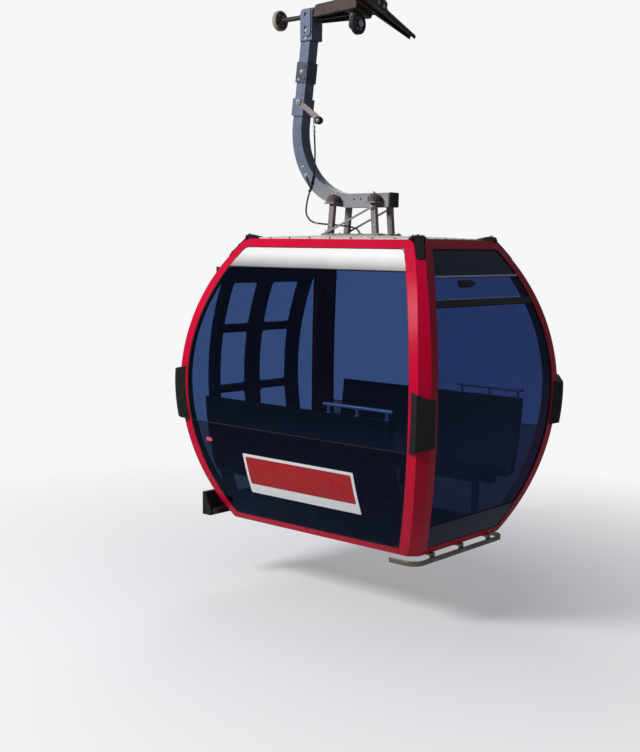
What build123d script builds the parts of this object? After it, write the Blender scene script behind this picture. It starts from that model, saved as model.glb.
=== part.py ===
"""Cable car cabin of a detachable monocable gondola, with its hanger and rope grip.

Millimetres. +X is the way of travel along the rope, +Y the door side, +Z up.
The origin is on the rope's axis in the middle of the grip's jaw.
The heights of cabin pieces are counted from the cabin's lower edge.
"""
import os
from math import cos, radians, sin, sqrt, tan

from build123d import *

os.makedirs("parts", exist_ok=True)

# Clearances
running_clearance = 0.05   # radial, shaft in bearing
seat_gap = 0.3             # between neighbours that seat on each other
moving_gap = 6             # between pieces that pass each other

# Cabin body: four bulging walls, widest at the belt
body_height = 2200
belt_height = 1100
half_length = 876          # along the rope, at the belt
half_width = 1208          # across the rope, at the belt
end_radii = (2090, 1810)   # bulge of the end walls below and above the belt
side_radii = (2200, 1900)  # bulge of the side walls below and above the belt
corner_leg = 59            # chamfer of the four corners

# Red frame
rail_width = 78
frame_depth = 45
top_rail = 62
bottom_rail = 50
opening_radius = 34
fascia_height = 215        # from the roof's edge down to the seam in the posts
sill_height = 110
notch_width = 66           # at its bottom, in the corner's chamfer
notch_depth = 132
notch_round = 12           # lower corners of the notch
shoulder_round = 42        # upper corners of the frame beside the notch
corner_cut = 180           # depth of the cut each way from the roof's corner

# Panels, panes and bars: inset of the outer face, thickness, heights
panel_inset, panel_thickness = 4, 26
glass_inset, glass_thickness = 10, 8
bar_depth = 40             # bars and door frame, flush with the inside of the frame
band_top = 790             # dark lower band of the end walls
side_band_top = 236
vent_drop = 250            # from the roof's edge down to the vent window
vent_height = 152
mid_bar_height = 46        # bar below the vent window
joint = 4                  # rubber joint between neighbouring panes

# Floor and roof
floor_thickness = 60
floor_rise = 2             # underside above the cabin's lower edge
roof_thickness = 40
roof_rim = 4
roof_crown = 34

# Doors on the +Y side
leaf_gap = 3               # from the middle of the doorway to a leaf's edge
leaf_thickness = 30
leaf_low = 78
leaf_drop = 25             # leaf's upper edge below the fascia
leaf_overlap = 60          # leaf past the doorway's edge
stile_width = 74
leaf_border = 73           # upper and lower rail of a leaf
leaf_rails = (970, 1470)   # middles of the cross rails
leaf_rail_height = 60
jamb_margin = 26           # from the nearest corner of the wall's opening to the doorway
jamb_width = 75
doorway_sill, doorway_lintel = 22, 30   # overlap of the leaves at the sill and the lintel
track_reach = 70           # upper track past the door frame
foot_rail_reach = 195      # lower rail past the door frame
track_wall = 5
track_space, foot_space = 18, 8         # free height in the upper and the lower track
track_root = 20            # depth of a track's web behind the wall's face
shoe_length, shoe_width, shoe_height = 70, 20, 16
shoe_web = 8               # plate between a leaf and its shoe
shoe_lap = 12              # plate's lap on the leaf
top_shoes, foot_shoes = (45, 150), (45, 260)   # from the middle of the doorway
guide_block_low, guide_block_high = 8, 190
guide_block_depth = 90
guide_block_lap = 45       # block's nearer end short of the door frame's edge

# Benches
seat_height = 450
seat_thickness = 45
seat_front = 330           # distance of the seat's front edge from the middle
seat_count = 4
seat_space = 30            # between neighbouring seats
seat_dish = 14             # hollow of the seat's top
seat_nose = 30             # radius of the seat's front edge
seat_apron, apron_thickness = 62, 16    # height of the seat's front, its thickness
bench_margin = 308         # bench's end from the side wall at the belt
bench_side = 40            # outer seats short of the bench's ends
back_top = 985
back_thickness = 28
beam_width, beam_height = 60, 40
beam_inset = 30            # beam's end short of the bench's end
leg_inset = 200            # outer legs of a bench from its ends
grab_diameter, grab_post = 26, 20
grab_height = 1050
grab_length = 600
grab_margin = 40           # outer posts from the grab rail's ends

# Bumpers, corner fittings and lower guide rail
bumper_height = 430
bumper_middle = 1005
bumper_depth = 42
bumper_width = 182
bumper_taper = 8           # degrees that its sides slope
bumper_slants = (38, 60)   # its lower and upper edge shorten towards the side wall
fitting_stand = 14         # roof corner fitting proud of the frame
fitting_depth = 39
fitting_halves = (21, 34)  # half widths of the fitting at its foot and at the roof's edge
cap_halves = (62, 35)      # half widths of its cap at the roof's edge and on top
cap_profile = ((0, seat_gap), (8, 28), (55, 34), (150, 14), (150, seat_gap))   # way in, height
guide_height = 36
guide_thickness = 14
guide_drop = 66            # lower edge of the guide rail below the cabin
guide_bend = 95
guide_stand, guide_end = 22, 10         # rail outside the side and end walls
guide_return = 230         # length of the rail's ends round the corners
bracket_spacing = 360
bracket_width = 50
bracket_foot, bracket_plate = 17, 12    # thickness of its foot and of its upright
bracket_depth = 90

# Rope and hanger
rope_diameter = 48
rope_slope = 17            # degrees that the rope falls towards +X
rope_clearance = 1730      # rope axis above the roof's edge
hanger_width = 100
bend_radius = 600          # outside of the bend
bend_inner_radius = 500
bend_y, bend_offset = 145, 5
hanger_lean = 7            # degrees that the upright leans in to the rope
bar_rise, beam_depth = 243, 106         # bar above the roof's edge, its height
bar_end = -250
bar_corner = 14
upright_drop = 195         # upright's top below the rope axis
head_width = 124
head_length = 120
head_offset = 17           # head's middle in from the upright's
swing_pin = 60             # diameter of the pin that the hanger swings on
plate_width, plate_height, plate_thickness = 104, 208, 10
plate_drop = 62            # plate's middle below the rope axis
plate_corner = 30
plate_hole = 30
plate_slot, plate_slot_width, plate_slot_drop = 60, 24, 115
collar_drop, collar_height, collar_wall = 510, 157, 9
clamp_drop, clamp_height, clamp_wall = 765, 135, 12

# Door lever
lever_pivot = (655, -660)  # across, height from the rope axis
lever_tip = (432, -818)
lever_arm_width, lever_arm_thickness = 42, 14
lever_roller_diameter, lever_roller_width = 58, 34

# Suspension
leg_middle = 70            # the legs' middle, towards the door side
leg_spacing_y = 400
leg_splay = 20
leg_x = 97
leg_width, leg_thickness = 46, 32
ear_rise = 40              # ears' upper face above the bar's lower edge
ear_reach, ear_thickness = 95, 12
buffer_diameter, buffer_height = 94, 58
buffer_edge = 24           # chamfer of its upper edge
foot_width, foot_margin, foot_rise = 96, 65, 10
brace_diameter = 16
brace_drop, brace_reach = 40, 36

# Grip
jaw_half = 110             # half length of the fixed jaw
jaw_low, jaw_high = -12, 52
jaw_back = 70
jaw_split = 3              # fixed jaw past the rope's middle
jaw_reach = 62             # moving jaw's outer face from the rope's middle
jaw_slant = 8
bridge_end = 34            # moving jaw's bridge over the fixed jaw
neck = 14                  # hub's lap on the bridge
arm_low, arm_high = -48, 60
arm_root, arm_knee = 66, 300
arm_widths = (98, 80, 62)  # half widths of the arm at its root, knee and shoulder
arm_edge = 12
rib_width = 18
pocket_start, pocket_depth = 190, 34
shoulder_length = 18
shoulder_radius, pin_washer_radius, pin_washer = 46, 44, 22
pivot_y, pivot_z = 70, 104
pivot_radius = 15
pivot_half = 128
lug_middle, lug_thickness, lug_radius = 84, 20, 26
lug_foot = (48, 120)
hub_radius = 30
lever_half = 68            # half width of the jaw's lever
lever_root, lever_tip_half = 24, 20     # lever's depth below its pivot and at its tip
lever_pocket = (0.14, 0.95)             # share of the lever that its side pockets take
lever_rim, lever_web = 10, 50
coupling_y, coupling_z = 447, 205
coupling_diameter, coupling_width, coupling_pin = 92, 36, 24
spring_wire, spring_turns = 10, 3
roller_diameter = 158
roller_width = 40
roller_edge = 7
tread_depth, hub_wall = 16, 10
axle_diameter = 30
axle_end = 8               # pins past what they carry
stub_diameter = 38
guide_roller_reach = 275   # guide roller's middle past the head
running_roller_y = 100
running_roller_drop = 128
hanger_plate = 34          # plate that carries the running roller
plate_root, plate_radius = 44, 30
tongue_length = 430
tongue_radii = (52, 29)

# Heights and places that follow
rope_height = body_height + rope_clearance
base = -rope_height
roof_edge = base + body_height
seam_height = body_height - fascia_height
notch_bottom = body_height - notch_depth
low_edge, high_edge = bottom_rail, body_height - top_rail
vent_top = body_height - vent_drop
mid_bar_top = vent_top - vent_height
mid_bar_low = mid_bar_top - mid_bar_height


def reach(face, height, inset=0):
    """Distance of a wall from the cabin's middle at a height above its lower edge."""
    if face == "corner":
        both = reach("end", height) + reach("side", height) - corner_leg
        return both / sqrt(2) - inset
    half, radii = {"end": (half_length, end_radii), "side": (half_width, side_radii)}[face]
    radius = radii[0] if height < belt_height else radii[1]
    rise = height - belt_height
    return half - radius + sqrt((radius - inset) ** 2 - rise**2)


def wall_line(face, low, high, inset=0, side=1, trim=0):
    """Arcs of one wall's outline between two heights, in the open sketch line."""
    stops = [low, high]
    if low < belt_height < high:
        stops.insert(1, belt_height)
    for start, end in zip(stops, stops[1:]):
        heights = (start, (start + end) / 2, end)
        points = [(side * (reach(face, h, inset) - trim), base + h) for h in heights]
        ThreePointArc(*points)


def barrel(inset=0, low=0, high=body_height):
    """The cabin's whole form, or a smaller or larger one at an even distance."""
    size = 2 * half_width
    planes = (("end", Plane.XZ), ("side", Plane.YZ)) + tuple(
        ("corner", Plane.XZ.rotated((0, 0, turn))) for turn in (45, 135)
    )
    with BuildPart() as form:
        for index, (face, plane) in enumerate(planes):
            with BuildSketch(plane):
                with BuildLine():
                    for side in (1, -1):
                        wall_line(face, low, high, inset, side)
                    for height in (low, high):
                        across = reach(face, height, inset)
                        Line((-across, base + height), (across, base + height))
                make_face()
            extrude(amount=size, both=True, mode=Mode.INTERSECT if index else Mode.ADD)
    return form.part


def opening(face, sides=(1, -1), gap=0):
    """Prisms through the frame's openings of a pair of walls, with rounded corners."""
    plane, across = {"end": (Plane.YZ, "side"), "side": (Plane.XZ, "end")}[face]
    low, high = low_edge + gap, high_edge - gap
    trim = corner_leg + rail_width + gap
    facing = 1 if face == "end" else -1
    with BuildPart() as prism:
        for side in sides:
            with BuildSketch(plane) as outline:
                with BuildLine():
                    for way in (1, -1):
                        wall_line(across, low, high, side=way, trim=trim)
                    for height in (low, high):
                        half = reach(across, height) - trim
                        Line((-half, base + height), (half, base + height))
                make_face()
                corners = outline.vertices().group_by(Axis.Y)
                fillet(corners[0] + corners[-1], radius=opening_radius)
            extrude(amount=side * facing * 2 * half_width)
    return prism.part


def slab(low, high, half_x=2 * half_width, half_y=2 * half_width):
    """A flat block between two heights, used to cut pieces to length."""
    middle = base + (low + high) / 2
    return Pos(0, 0, middle) * Box(2 * half_x, 2 * half_y, high - low)


def finish(piece, name):
    """Label a finished piece and write its file."""
    piece.label = name
    export_step(piece, f"parts/{name}.step")


def corner_planes(height):
    """Planes that face out of the four corners at a height, with the way that is up in each."""
    across = [reach(face, height) - corner_leg / 2 for face in ("end", "side")]
    planes = []
    for x, y in ((1, 1), (1, -1), (-1, 1), (-1, -1)):
        spot = (x * across[0], y * across[1], base + height)
        planes.append((Plane(origin=spot, x_dir=(x, -y, 0), z_dir=(x, y, 0)), -x * y))
    return planes


def notch_outline(up):
    """Outline of a corner's notch with rounded shoulders, in the open sketch line."""
    half, low = notch_width / 2, -notch_depth
    turn = 1 - cos(radians(45))
    over = half + shoulder_round
    for side in (1, -1):
        ThreePointArc(
            (side * (half - notch_round), up * low),
            (side * (half - turn * notch_round), up * (low + turn * notch_round)),
            (side * half, up * (low + notch_round)),
        )
        Line((side * half, up * (low + notch_round)), (side * half, -up * shoulder_round))
        ThreePointArc(
            (side * half, -up * shoulder_round),
            (side * (half + turn * shoulder_round), -up * turn * shoulder_round),
            (side * over, 0),
        )
        Line((side * over, 0), (side * over, up))
    Line((notch_round - half, up * low), (half - notch_round, up * low))
    Line((-over, up), (over, up))


# Red frame: one shell with an opening in each wall, split where its mouldings meet
with BuildPart() as cage:
    add(barrel())
    add(barrel(frame_depth, -1, body_height + 1), mode=Mode.SUBTRACT)
    add(opening("end"), mode=Mode.SUBTRACT)
    add(opening("side"), mode=Mode.SUBTRACT)
    for plane, up in corner_planes(body_height):
        with BuildSketch(plane):
            with BuildLine():
                notch_outline(up)
            make_face()
        extrude(amount=corner_cut, both=True, mode=Mode.SUBTRACT)

frame_parts = (             # name, lower edge, upper edge
    ("roof_moulding", seam_height, body_height),
    ("corner_posts", sill_height, seam_height),
    ("sill_frame", 0, sill_height),
)
for name, low, high in frame_parts:
    with BuildPart() as moulding:
        add(cage.part)
        add(slab(low, high), mode=Mode.INTERSECT)
    finish(moulding.part, name)

# Wall pieces that fill the openings: panels, panes and bars
end_fit = opening("end", gap=seat_gap)
side_fit = opening("side", gap=seat_gap)
blank_fit = opening("side", sides=(-1,), gap=seat_gap)
door_fit = opening("side", sides=(1,), gap=seat_gap)
panel = (panel_inset, panel_thickness)
glass = (glass_inset, glass_thickness)
bar = (panel_inset, bar_depth)
recessed = (glass_inset, panel_thickness)
layers = {
    layer: barrel(layer[0]) - barrel(sum(layer), -1, body_height + 1)
    for layer in (panel, glass, bar, recessed)
}
wall_parts = (              # name, opening, layer of the wall, lower edge, upper edge
    ("end_fascias", end_fit, panel, seam_height + joint, high_edge),
    ("end_windows", end_fit, glass, band_top, seam_height),
    ("end_lower_panels", end_fit, panel, low_edge, band_top - joint),
    ("side_fascias", side_fit, recessed, vent_top, high_edge),
    ("vent_window", blank_fit, glass, mid_bar_top, vent_top - joint),
    ("vent_bar", blank_fit, bar, mid_bar_low, mid_bar_top - joint),
    ("side_window", blank_fit, glass, side_band_top, mid_bar_low - joint),
    ("side_lower_panel", blank_fit, panel, low_edge, side_band_top - joint),
)
for name, fit, layer, low, high in wall_parts:
    with BuildPart() as wall:
        add(layers[layer])
        add(fit, mode=Mode.INTERSECT)
        add(slab(low, high), mode=Mode.INTERSECT)
    finish(wall.part, name)

# Door side: jambs, lintel and sill round the doorway, with a fixed pane on each side
jamb_inner = min(reach("end", low_edge), reach("end", vent_top)) - corner_leg - rail_width - jamb_margin
jamb_outer = jamb_inner + jamb_width
leaf_high = vent_top - leaf_drop
doorway_low, doorway_high = leaf_low + doorway_sill, leaf_high - doorway_lintel
with BuildPart() as door_frame:
    add(layers[bar])
    add(door_fit, mode=Mode.INTERSECT)
    add(slab(low_edge, vent_top - joint, half_x=jamb_outer), mode=Mode.INTERSECT)
    with BuildSketch(Plane.XZ):
        with Locations((0, base + (doorway_low + doorway_high) / 2)):
            RectangleRounded(2 * jamb_inner, doorway_high - doorway_low, opening_radius)
    extrude(amount=-2 * half_width, mode=Mode.SUBTRACT)
finish(door_frame.part, "door_frame")

with BuildPart() as door_side_panes:
    add(layers[glass])
    add(door_fit, mode=Mode.INTERSECT)
    add(slab(low_edge, vent_top - joint), mode=Mode.INTERSECT)
    with BuildSketch(Plane.XY.offset(base)):
        Rectangle(2 * (jamb_outer + seat_gap), 4 * half_width)
    extrude(amount=body_height, mode=Mode.SUBTRACT)
finish(door_side_panes.part, "door_side_panes")

# Floor and roof
with BuildPart() as floor:
    add(barrel(frame_depth + seat_gap, floor_rise, floor_thickness))
finish(floor.part, "floor")

with BuildPart() as roof:
    add(barrel(frame_depth + seat_gap, body_height - roof_thickness, body_height))
    top = roof.faces().sort_by(Axis.Z)[-1]
    with BuildSketch(Plane(origin=(0, 0, roof_edge))):
        add(make_hull(top.edges()))
    extrude(amount=2 * roof_crown)
    for plane, face in ((Plane.XZ, "end"), (Plane.YZ, "side")):
        half = reach(face, body_height)
        rim = roof_edge + roof_rim
        under = roof_edge - 2 * roof_thickness
        with BuildSketch(plane):
            with BuildLine():
                ThreePointArc((-half, rim), (0, roof_edge + roof_crown), (half, rim))
                Polyline((half, rim), (half, under), (-half, under), (-half, rim))
            make_face()
        extrude(amount=2 * half_width, both=True, mode=Mode.INTERSECT)
finish(roof.part, "roof")


# Sliding doors: two leaves outside the wall, each curved as the wall is
def band_lines(face, low, high, inner, outer, side=1):
    """Outline of a curved board along a wall, in the open sketch line."""
    for inset in (inner, outer):
        wall_line(face, low, high, inset, side)
    for height in (low, high):
        Line(*[(side * reach(face, height, inset), base + height) for inset in (inner, outer)])


leaf_width = jamb_inner + leaf_overlap - leaf_gap
window_width = leaf_width - 2 * stile_width
window_edges = [leaf_low + leaf_border]
for rail in leaf_rails:
    window_edges += [rail - leaf_rail_height / 2, rail + leaf_rail_height / 2]
window_edges.append(leaf_high - leaf_border)
leaf_windows = list(zip(window_edges[::2], window_edges[1::2]))   # lower edge, upper edge
leaf_inner = -moving_gap
leaf_outer = leaf_inner - leaf_thickness
leaf_middle = (leaf_inner + leaf_outer) / 2
pane_faces = (leaf_middle + glass_thickness / 2, leaf_middle - glass_thickness / 2)
rail_y = reach("side", leaf_high, leaf_middle)
foot_y = reach("side", leaf_low, leaf_middle)
track_low = leaf_high + moving_gap
track_high = track_low + shoe_height + 2 * track_wall + track_space
foot_high = leaf_low - moving_gap
foot_low = foot_high - shoe_height - 2 * track_wall - foot_space
track_width = shoe_width + 2 * seat_gap + 2 * track_wall
top_shoe_z = track_low + track_wall + seat_gap + shoe_height / 2
foot_shoe_z = foot_high - track_wall - seat_gap - shoe_height / 2
webs = (                    # places of the shoes, distance across, lower edge, upper edge, shoe
    (top_shoes, rail_y, leaf_high - shoe_lap, top_shoe_z, top_shoe_z),
    (foot_shoes, foot_y, foot_shoe_z, leaf_low + shoe_lap, foot_shoe_z),
)
for end, side in (("front", 1), ("rear", -1)):
    first_x = min(side * leaf_gap, side * (leaf_gap + leaf_width))
    middle_x = first_x + leaf_width / 2
    with BuildPart() as leaf:
        with BuildSketch(Plane.YZ.offset(first_x)):
            with BuildLine():
                band_lines("side", leaf_low, leaf_high, leaf_inner, leaf_outer)
            make_face()
        extrude(amount=leaf_width)
        with BuildSketch(Plane.XZ):
            for low, high in leaf_windows:
                with Locations((middle_x, base + (low + high) / 2)):
                    RectangleRounded(window_width, high - low, opening_radius)
        extrude(amount=-2 * half_width, mode=Mode.SUBTRACT)
        for steps, y, low, high, shoe_z in webs:
            for step in steps:
                with Locations((side * (leaf_gap + step), y, base + (low + high) / 2)):
                    Box(shoe_length, shoe_web, high - low)
                with Locations((side * (leaf_gap + step), y, base + shoe_z)):
                    Box(shoe_length, shoe_width, shoe_height)
    finish(leaf.part, f"door_leaf_{end}")

    with BuildPart() as pane:
        with BuildSketch(Plane.YZ.offset(first_x)):
            with BuildLine():
                band_lines("side", leaf_low, leaf_high, *pane_faces)
            make_face()
        extrude(amount=leaf_width)
        with BuildSketch(Plane.XZ):
            for low, high in leaf_windows:
                with Locations((middle_x, base + (low + high) / 2)):
                    RectangleRounded(
                        window_width - 2 * seat_gap, high - low - 2 * seat_gap, opening_radius
                    )
        extrude(amount=-2 * half_width, mode=Mode.INTERSECT)
    finish(pane.part, f"door_glass_{end}")

# Tracks that carry the doors at their upper and lower edges
track_half, foot_rail_half = jamb_outer + track_reach, jamb_outer + foot_rail_reach
track_parts = (             # name, half length, middle, lower edge, upper edge, edge with the slot
    ("door_track", track_half, rail_y, track_low, track_high, track_low),
    ("door_foot_rail", foot_rail_half, foot_y, foot_low, foot_high, foot_high),
)
for name, half, y, low, high, mouth in track_parts:
    root = min(reach("side", low), reach("side", high)) - track_root
    face_y = y + track_width / 2
    with BuildPart() as track:
        with BuildSketch(Plane.YZ.offset(-half)):
            with Locations(((root + face_y) / 2, base + (low + high) / 2)):
                Rectangle(face_y - root, high - low)
            with Locations((y, base + (low + high) / 2)):
                Rectangle(shoe_width + 2 * seat_gap, high - low - 2 * track_wall, mode=Mode.SUBTRACT)
            with Locations((y, base + mouth)):
                Rectangle(shoe_web + 2 * moving_gap, 2 * track_wall + 2, mode=Mode.SUBTRACT)
        extrude(amount=2 * half)
        add(barrel(-seat_gap), mode=Mode.SUBTRACT)
    finish(track.part, name)

# Blocks at the ends of the lower track that hold an open leaf's foot in
block_near = jamb_outer - guide_block_lap
with BuildPart() as door_guides:
    for side in (1, -1):
        with Locations((
            side * (block_near + foot_rail_half) / 2,
            foot_y + (track_width + guide_block_depth) / 2 + seat_gap,
            base + (guide_block_low + guide_block_high) / 2,
        )):
            Box(foot_rail_half - block_near, guide_block_depth, guide_block_high - guide_block_low)
    with BuildSketch(Plane.YZ):
        with BuildLine():
            band_lines("side", foot_high, guide_block_high + 1, 2 * frame_depth,
                       leaf_outer - moving_gap)
        make_face()
    extrude(amount=2 * half_length, both=True, mode=Mode.SUBTRACT)
finish(door_guides.part, "door_guides")

# Benches across the cabin at both ends, with their backs on the end walls
bench_half = half_width - bench_margin
seat_low = seat_height - seat_thickness
back_inner = panel_inset + panel_thickness + seat_gap
back_face = back_inner + back_thickness
with BuildPart() as bench_backs:
    for side in (1, -1):
        with BuildSketch(Plane.XZ.offset(-bench_half)):
            with BuildLine():
                band_lines("end", seat_low, back_top, back_inner, back_face, side)
            make_face()
        extrude(amount=2 * bench_half)
finish(bench_backs.part, "bench_backs")

seat_rear = reach("end", seat_low, back_face) - moving_gap
seat_spacing = 2 * (bench_half - bench_side) / seat_count
seat_width = seat_spacing - seat_space
nose_top, apron_low = seat_front + seat_nose, seat_height - seat_apron
nose_turn = (1 - cos(radians(45))) * seat_nose
seat_profile = (            # corners after the rounded nose: from the middle, height
    (seat_front, apron_low), (seat_front + apron_thickness, apron_low),
    (seat_front + apron_thickness, seat_low), (seat_rear, seat_low), (seat_rear, seat_height),
)
with BuildPart() as seats:
    for index in range(seat_count):
        middle_y = (index + 0.5) * seat_spacing - (bench_half - bench_side)
        for side in (1, -1):
            with BuildSketch(Plane.XZ.offset(-middle_y)):
                with BuildLine():
                    ThreePointArc(
                        (side * nose_top, base + seat_height),
                        (side * (seat_front + nose_turn), base + seat_height - nose_turn),
                        (side * seat_front, base + seat_height - seat_nose),
                    )
                    Polyline((side * seat_front, base + seat_height - seat_nose),
                             *[(side * x, base + z) for x, z in seat_profile])
                    ThreePointArc(
                        (side * seat_rear, base + seat_height),
                        (side * (nose_top + seat_rear) / 2, base + seat_height - seat_dish),
                        (side * nose_top, base + seat_height),
                    )
                make_face()
            extrude(amount=seat_width / 2, both=True)
finish(seats.part, "seats")

beam_top = seat_low - seat_gap
leg_low = floor_thickness + seat_gap
beam_x = reach("end", floor_thickness, frame_depth + seat_gap) - moving_gap - beam_width / 2
with BuildPart() as bench_frames:
    for side in (1, -1):
        with Locations((side * beam_x, 0, base + beam_top - beam_height / 2)):
            Box(beam_width, 2 * (bench_half - beam_inset), beam_height)
        for y in (leg_inset - bench_half, 0, bench_half - leg_inset):
            with Locations((side * beam_x, y, base + (leg_low + beam_top - beam_height) / 2)):
                Box(beam_height, beam_height, beam_top - beam_height - leg_low)
finish(bench_frames.part, "bench_frames")

grab_low = -bench_half
grab_high = grab_low + grab_length
with BuildPart() as grab_rails:
    for side in (1, -1):
        grab_x = side * reach("end", back_top, (back_inner + back_face) / 2)
        for y in (grab_low + grab_margin, (grab_low + grab_high) / 2, grab_high - grab_margin):
            with BuildSketch(Plane(origin=(grab_x, y, base + back_top + seat_gap))):
                Circle(grab_post / 2)
            extrude(amount=grab_height - back_top)
        with BuildSketch(Plane.XZ.offset(-grab_high)):
            with Locations((grab_x, base + grab_height)):
                Circle(grab_diameter / 2)
        extrude(amount=grab_length)
finish(grab_rails.part, "grab_rails")

# Black bumpers on the four corner posts
bumper_low = bumper_middle - bumper_height / 2
bumper_high = bumper_middle + bumper_height / 2
with BuildPart() as bumpers:
    add(barrel(-bumper_depth, bumper_low, bumper_high))
    add(barrel(-seat_gap, bumper_low - 1, bumper_high + 1), mode=Mode.SUBTRACT)
    with BuildPart(mode=Mode.PRIVATE) as blanks:
        half, tall = bumper_width / 2, bumper_height / 2
        for plane, up in corner_planes(bumper_middle):
            with BuildSketch(plane.offset(-half)):
                Polygon((half, -up * tall), (half, up * tall), (-half, up * (tall - bumper_slants[1])),
                        (-half, up * (bumper_slants[0] - tall)), align=None)
            extrude(amount=half + 2 * bumper_depth, taper=bumper_taper)
    add(blanks.part, mode=Mode.INTERSECT)
    with BuildSketch(Plane.YZ):
        with BuildLine():
            band_lines("side", bumper_low - 1, bumper_high + 1, -seat_gap, -2 * bumper_depth)
        make_face()
    extrude(amount=2 * half_length, both=True, mode=Mode.SUBTRACT)
finish(bumpers.part, "corner_bumpers")

# Dark fittings in the notches of the roof corners, each with a sloping cap on the roof
foot, shoulder = fitting_halves
cap_low, cap_high = cap_halves
cap_top = max(height for way, height in cap_profile)
with BuildPart() as fitting_blocks:
    for plane, up in corner_planes(body_height):
        with BuildSketch(plane):
            Polygon((-foot, -up * notch_depth), (foot, -up * notch_depth), (shoulder, up * seat_gap),
                    (-shoulder, up * seat_gap), align=None)
        extrude(amount=corner_cut, both=True)
with BuildPart() as corner_fittings:
    add(barrel(-fitting_stand, notch_bottom + seat_gap, body_height + seat_gap))
    add(barrel(fitting_depth, notch_bottom - 1, body_height + 1), mode=Mode.SUBTRACT)
    add(fitting_blocks.part, mode=Mode.INTERSECT)
    for plane, up in corner_planes(body_height):
        with BuildPart(mode=Mode.PRIVATE) as cap:
            with BuildSketch(Plane(origin=plane.origin, x_dir=plane.z_dir, z_dir=plane.x_dir)):
                Polygon(*[(fitting_stand - way, -up * height) for way, height in cap_profile],
                        align=None)
            extrude(amount=cap_low, both=True)
            with BuildSketch(plane):
                Polygon((-cap_low, 0), (cap_low, 0), (cap_high, up * cap_top),
                        (-cap_high, up * cap_top), align=None)
            extrude(amount=2 * corner_cut, both=True, mode=Mode.INTERSECT)
        add(cap.part)
    add(roof.part, mode=Mode.SUBTRACT)
finish(corner_fittings.part, "corner_fittings")

# Guide rail under the doorless side, bent in round both corners
guide_x, guide_y = reach("end", 0) + guide_end, -reach("side", 0) - guide_stand
guide_z = base - guide_drop + guide_height / 2
with BuildPart() as guide_rail:
    with BuildLine():
        path = FilletPolyline(
            (-guide_x, guide_y + guide_return, guide_z),
            (-guide_x, guide_y, guide_z),
            (guide_x, guide_y, guide_z),
            (guide_x, guide_y + guide_return, guide_z),
            radius=guide_bend,
        )
    with BuildSketch(Plane(origin=path @ 0, z_dir=path % 0, x_dir=(0, 0, 1))):
        RectangleRounded(guide_height, guide_thickness, guide_thickness / 3)
    sweep()
finish(guide_rail.part, "guide_rail")

bracket_y = guide_y + guide_thickness / 2 + seat_gap
with BuildPart() as guide_brackets:
    for x in (-bracket_spacing, 0, bracket_spacing):
        with Locations((x, bracket_y + bracket_depth / 2, base - seat_gap - bracket_foot / 2)):
            Box(bracket_width, bracket_depth, bracket_foot)
        with Locations((x, bracket_y + bracket_plate / 2, base - guide_drop / 2)):
            Box(bracket_width, bracket_plate, guide_drop - 2 * seat_gap)
finish(guide_brackets.part, "guide_brackets")

# Hanger: a welded box that comes down beside the rope and turns in under it
lean = radians(hanger_lean)
bar_low = body_height + bar_rise
bar_high = bar_low + beam_depth
upright_top = rope_height - upright_drop
outer_centre = (bend_y, base + bar_low + bend_radius)
inner_centre = (bend_y + bend_offset, base + bar_high + bend_inner_radius)


def upright_edge(centre, radius):
    """The point where a bend runs out into the upright, and the upright's top."""
    start = (centre[0] + radius * cos(lean), centre[1] + radius * sin(lean))
    rise = base + upright_top - start[1]
    return start, (start[0] - rise * tan(lean), base + upright_top)


outer_start, outer_top = upright_edge(outer_centre, bend_radius)
inner_start, inner_top = upright_edge(inner_centre, bend_inner_radius)
with BuildPart() as hanger:
    with BuildSketch(Plane.YZ.offset(-hanger_width / 2)):
        with BuildLine():
            CenterArc(outer_centre, bend_radius, -90, 90 + hanger_lean)
            Polyline(outer_start, outer_top, inner_top, inner_start)
            CenterArc(inner_centre, bend_inner_radius, -90, 90 + hanger_lean)
            Polyline((inner_centre[0], base + bar_high), (bar_end, base + bar_high),
                     (bar_end, base + bar_low), (bend_y, base + bar_low))
        make_face()
    extrude(amount=hanger_width)
    fillet(hanger.edges().filter_by(Axis.X).sort_by(Axis.Y)[:2], radius=bar_corner)
finish(hanger.part, "hanger_frame")

upright_middle = (outer_top[0] + inner_top[0]) / 2
upright_depth = (outer_top[0] - inner_top[0]) * cos(lean)
head_inner = upright_middle - head_offset - head_length / 2
head_outer = head_inner + head_length


def upright_plane(height):
    """Plane square to the upright at a height above the cabin's lower edge, centred in it."""
    y = upright_middle + (upright_top - height) * tan(lean)
    return Plane(origin=(0, y, base + height), x_dir=(1, 0, 0), z_dir=(0, -sin(lean), cos(lean)))


with BuildPart() as hanger_head:
    with BuildSketch(Plane.XZ.offset(-head_inner)):
        Circle(head_width / 2)
        with Locations((0, -upright_drop / 2)):
            Rectangle(head_width, upright_drop)
        Circle(swing_pin / 2 + running_clearance, mode=Mode.SUBTRACT)
    extrude(amount=-head_length)
finish(hanger_head.part, "hanger_head")

with BuildPart() as head_plate:
    head_middle = head_inner + head_length / 2
    with BuildSketch(Plane.YZ.offset(-head_width / 2 - seat_gap)):
        with Locations((head_middle, -plate_drop)):
            RectangleRounded(plate_width, plate_height, plate_corner)
        with Locations((head_middle, 0)):
            Circle(plate_hole / 2, mode=Mode.SUBTRACT)
        with Locations((head_middle, -plate_slot_drop)):
            SlotOverall(plate_slot, plate_slot_width, rotation=90, mode=Mode.SUBTRACT)
    extrude(amount=-plate_thickness)
finish(head_plate.part, "head_plate")

sleeves = (                 # name, lower edge above the cabin's, height, wall
    ("hanger_collar", rope_height - collar_drop, collar_height, collar_wall),
    ("lever_clamp", rope_height - clamp_drop, clamp_height, clamp_wall),
)
for name, low, height, wall_thickness in sleeves:
    with BuildPart() as sleeve:
        with BuildSketch(upright_plane(low)):
            Rectangle(hanger_width + 2 * wall_thickness, upright_depth + 2 * wall_thickness)
            Rectangle(hanger_width + 2 * seat_gap, upright_depth + 2 * seat_gap, mode=Mode.SUBTRACT)
        extrude(amount=height)
    finish(sleeve.part, name)

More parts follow.
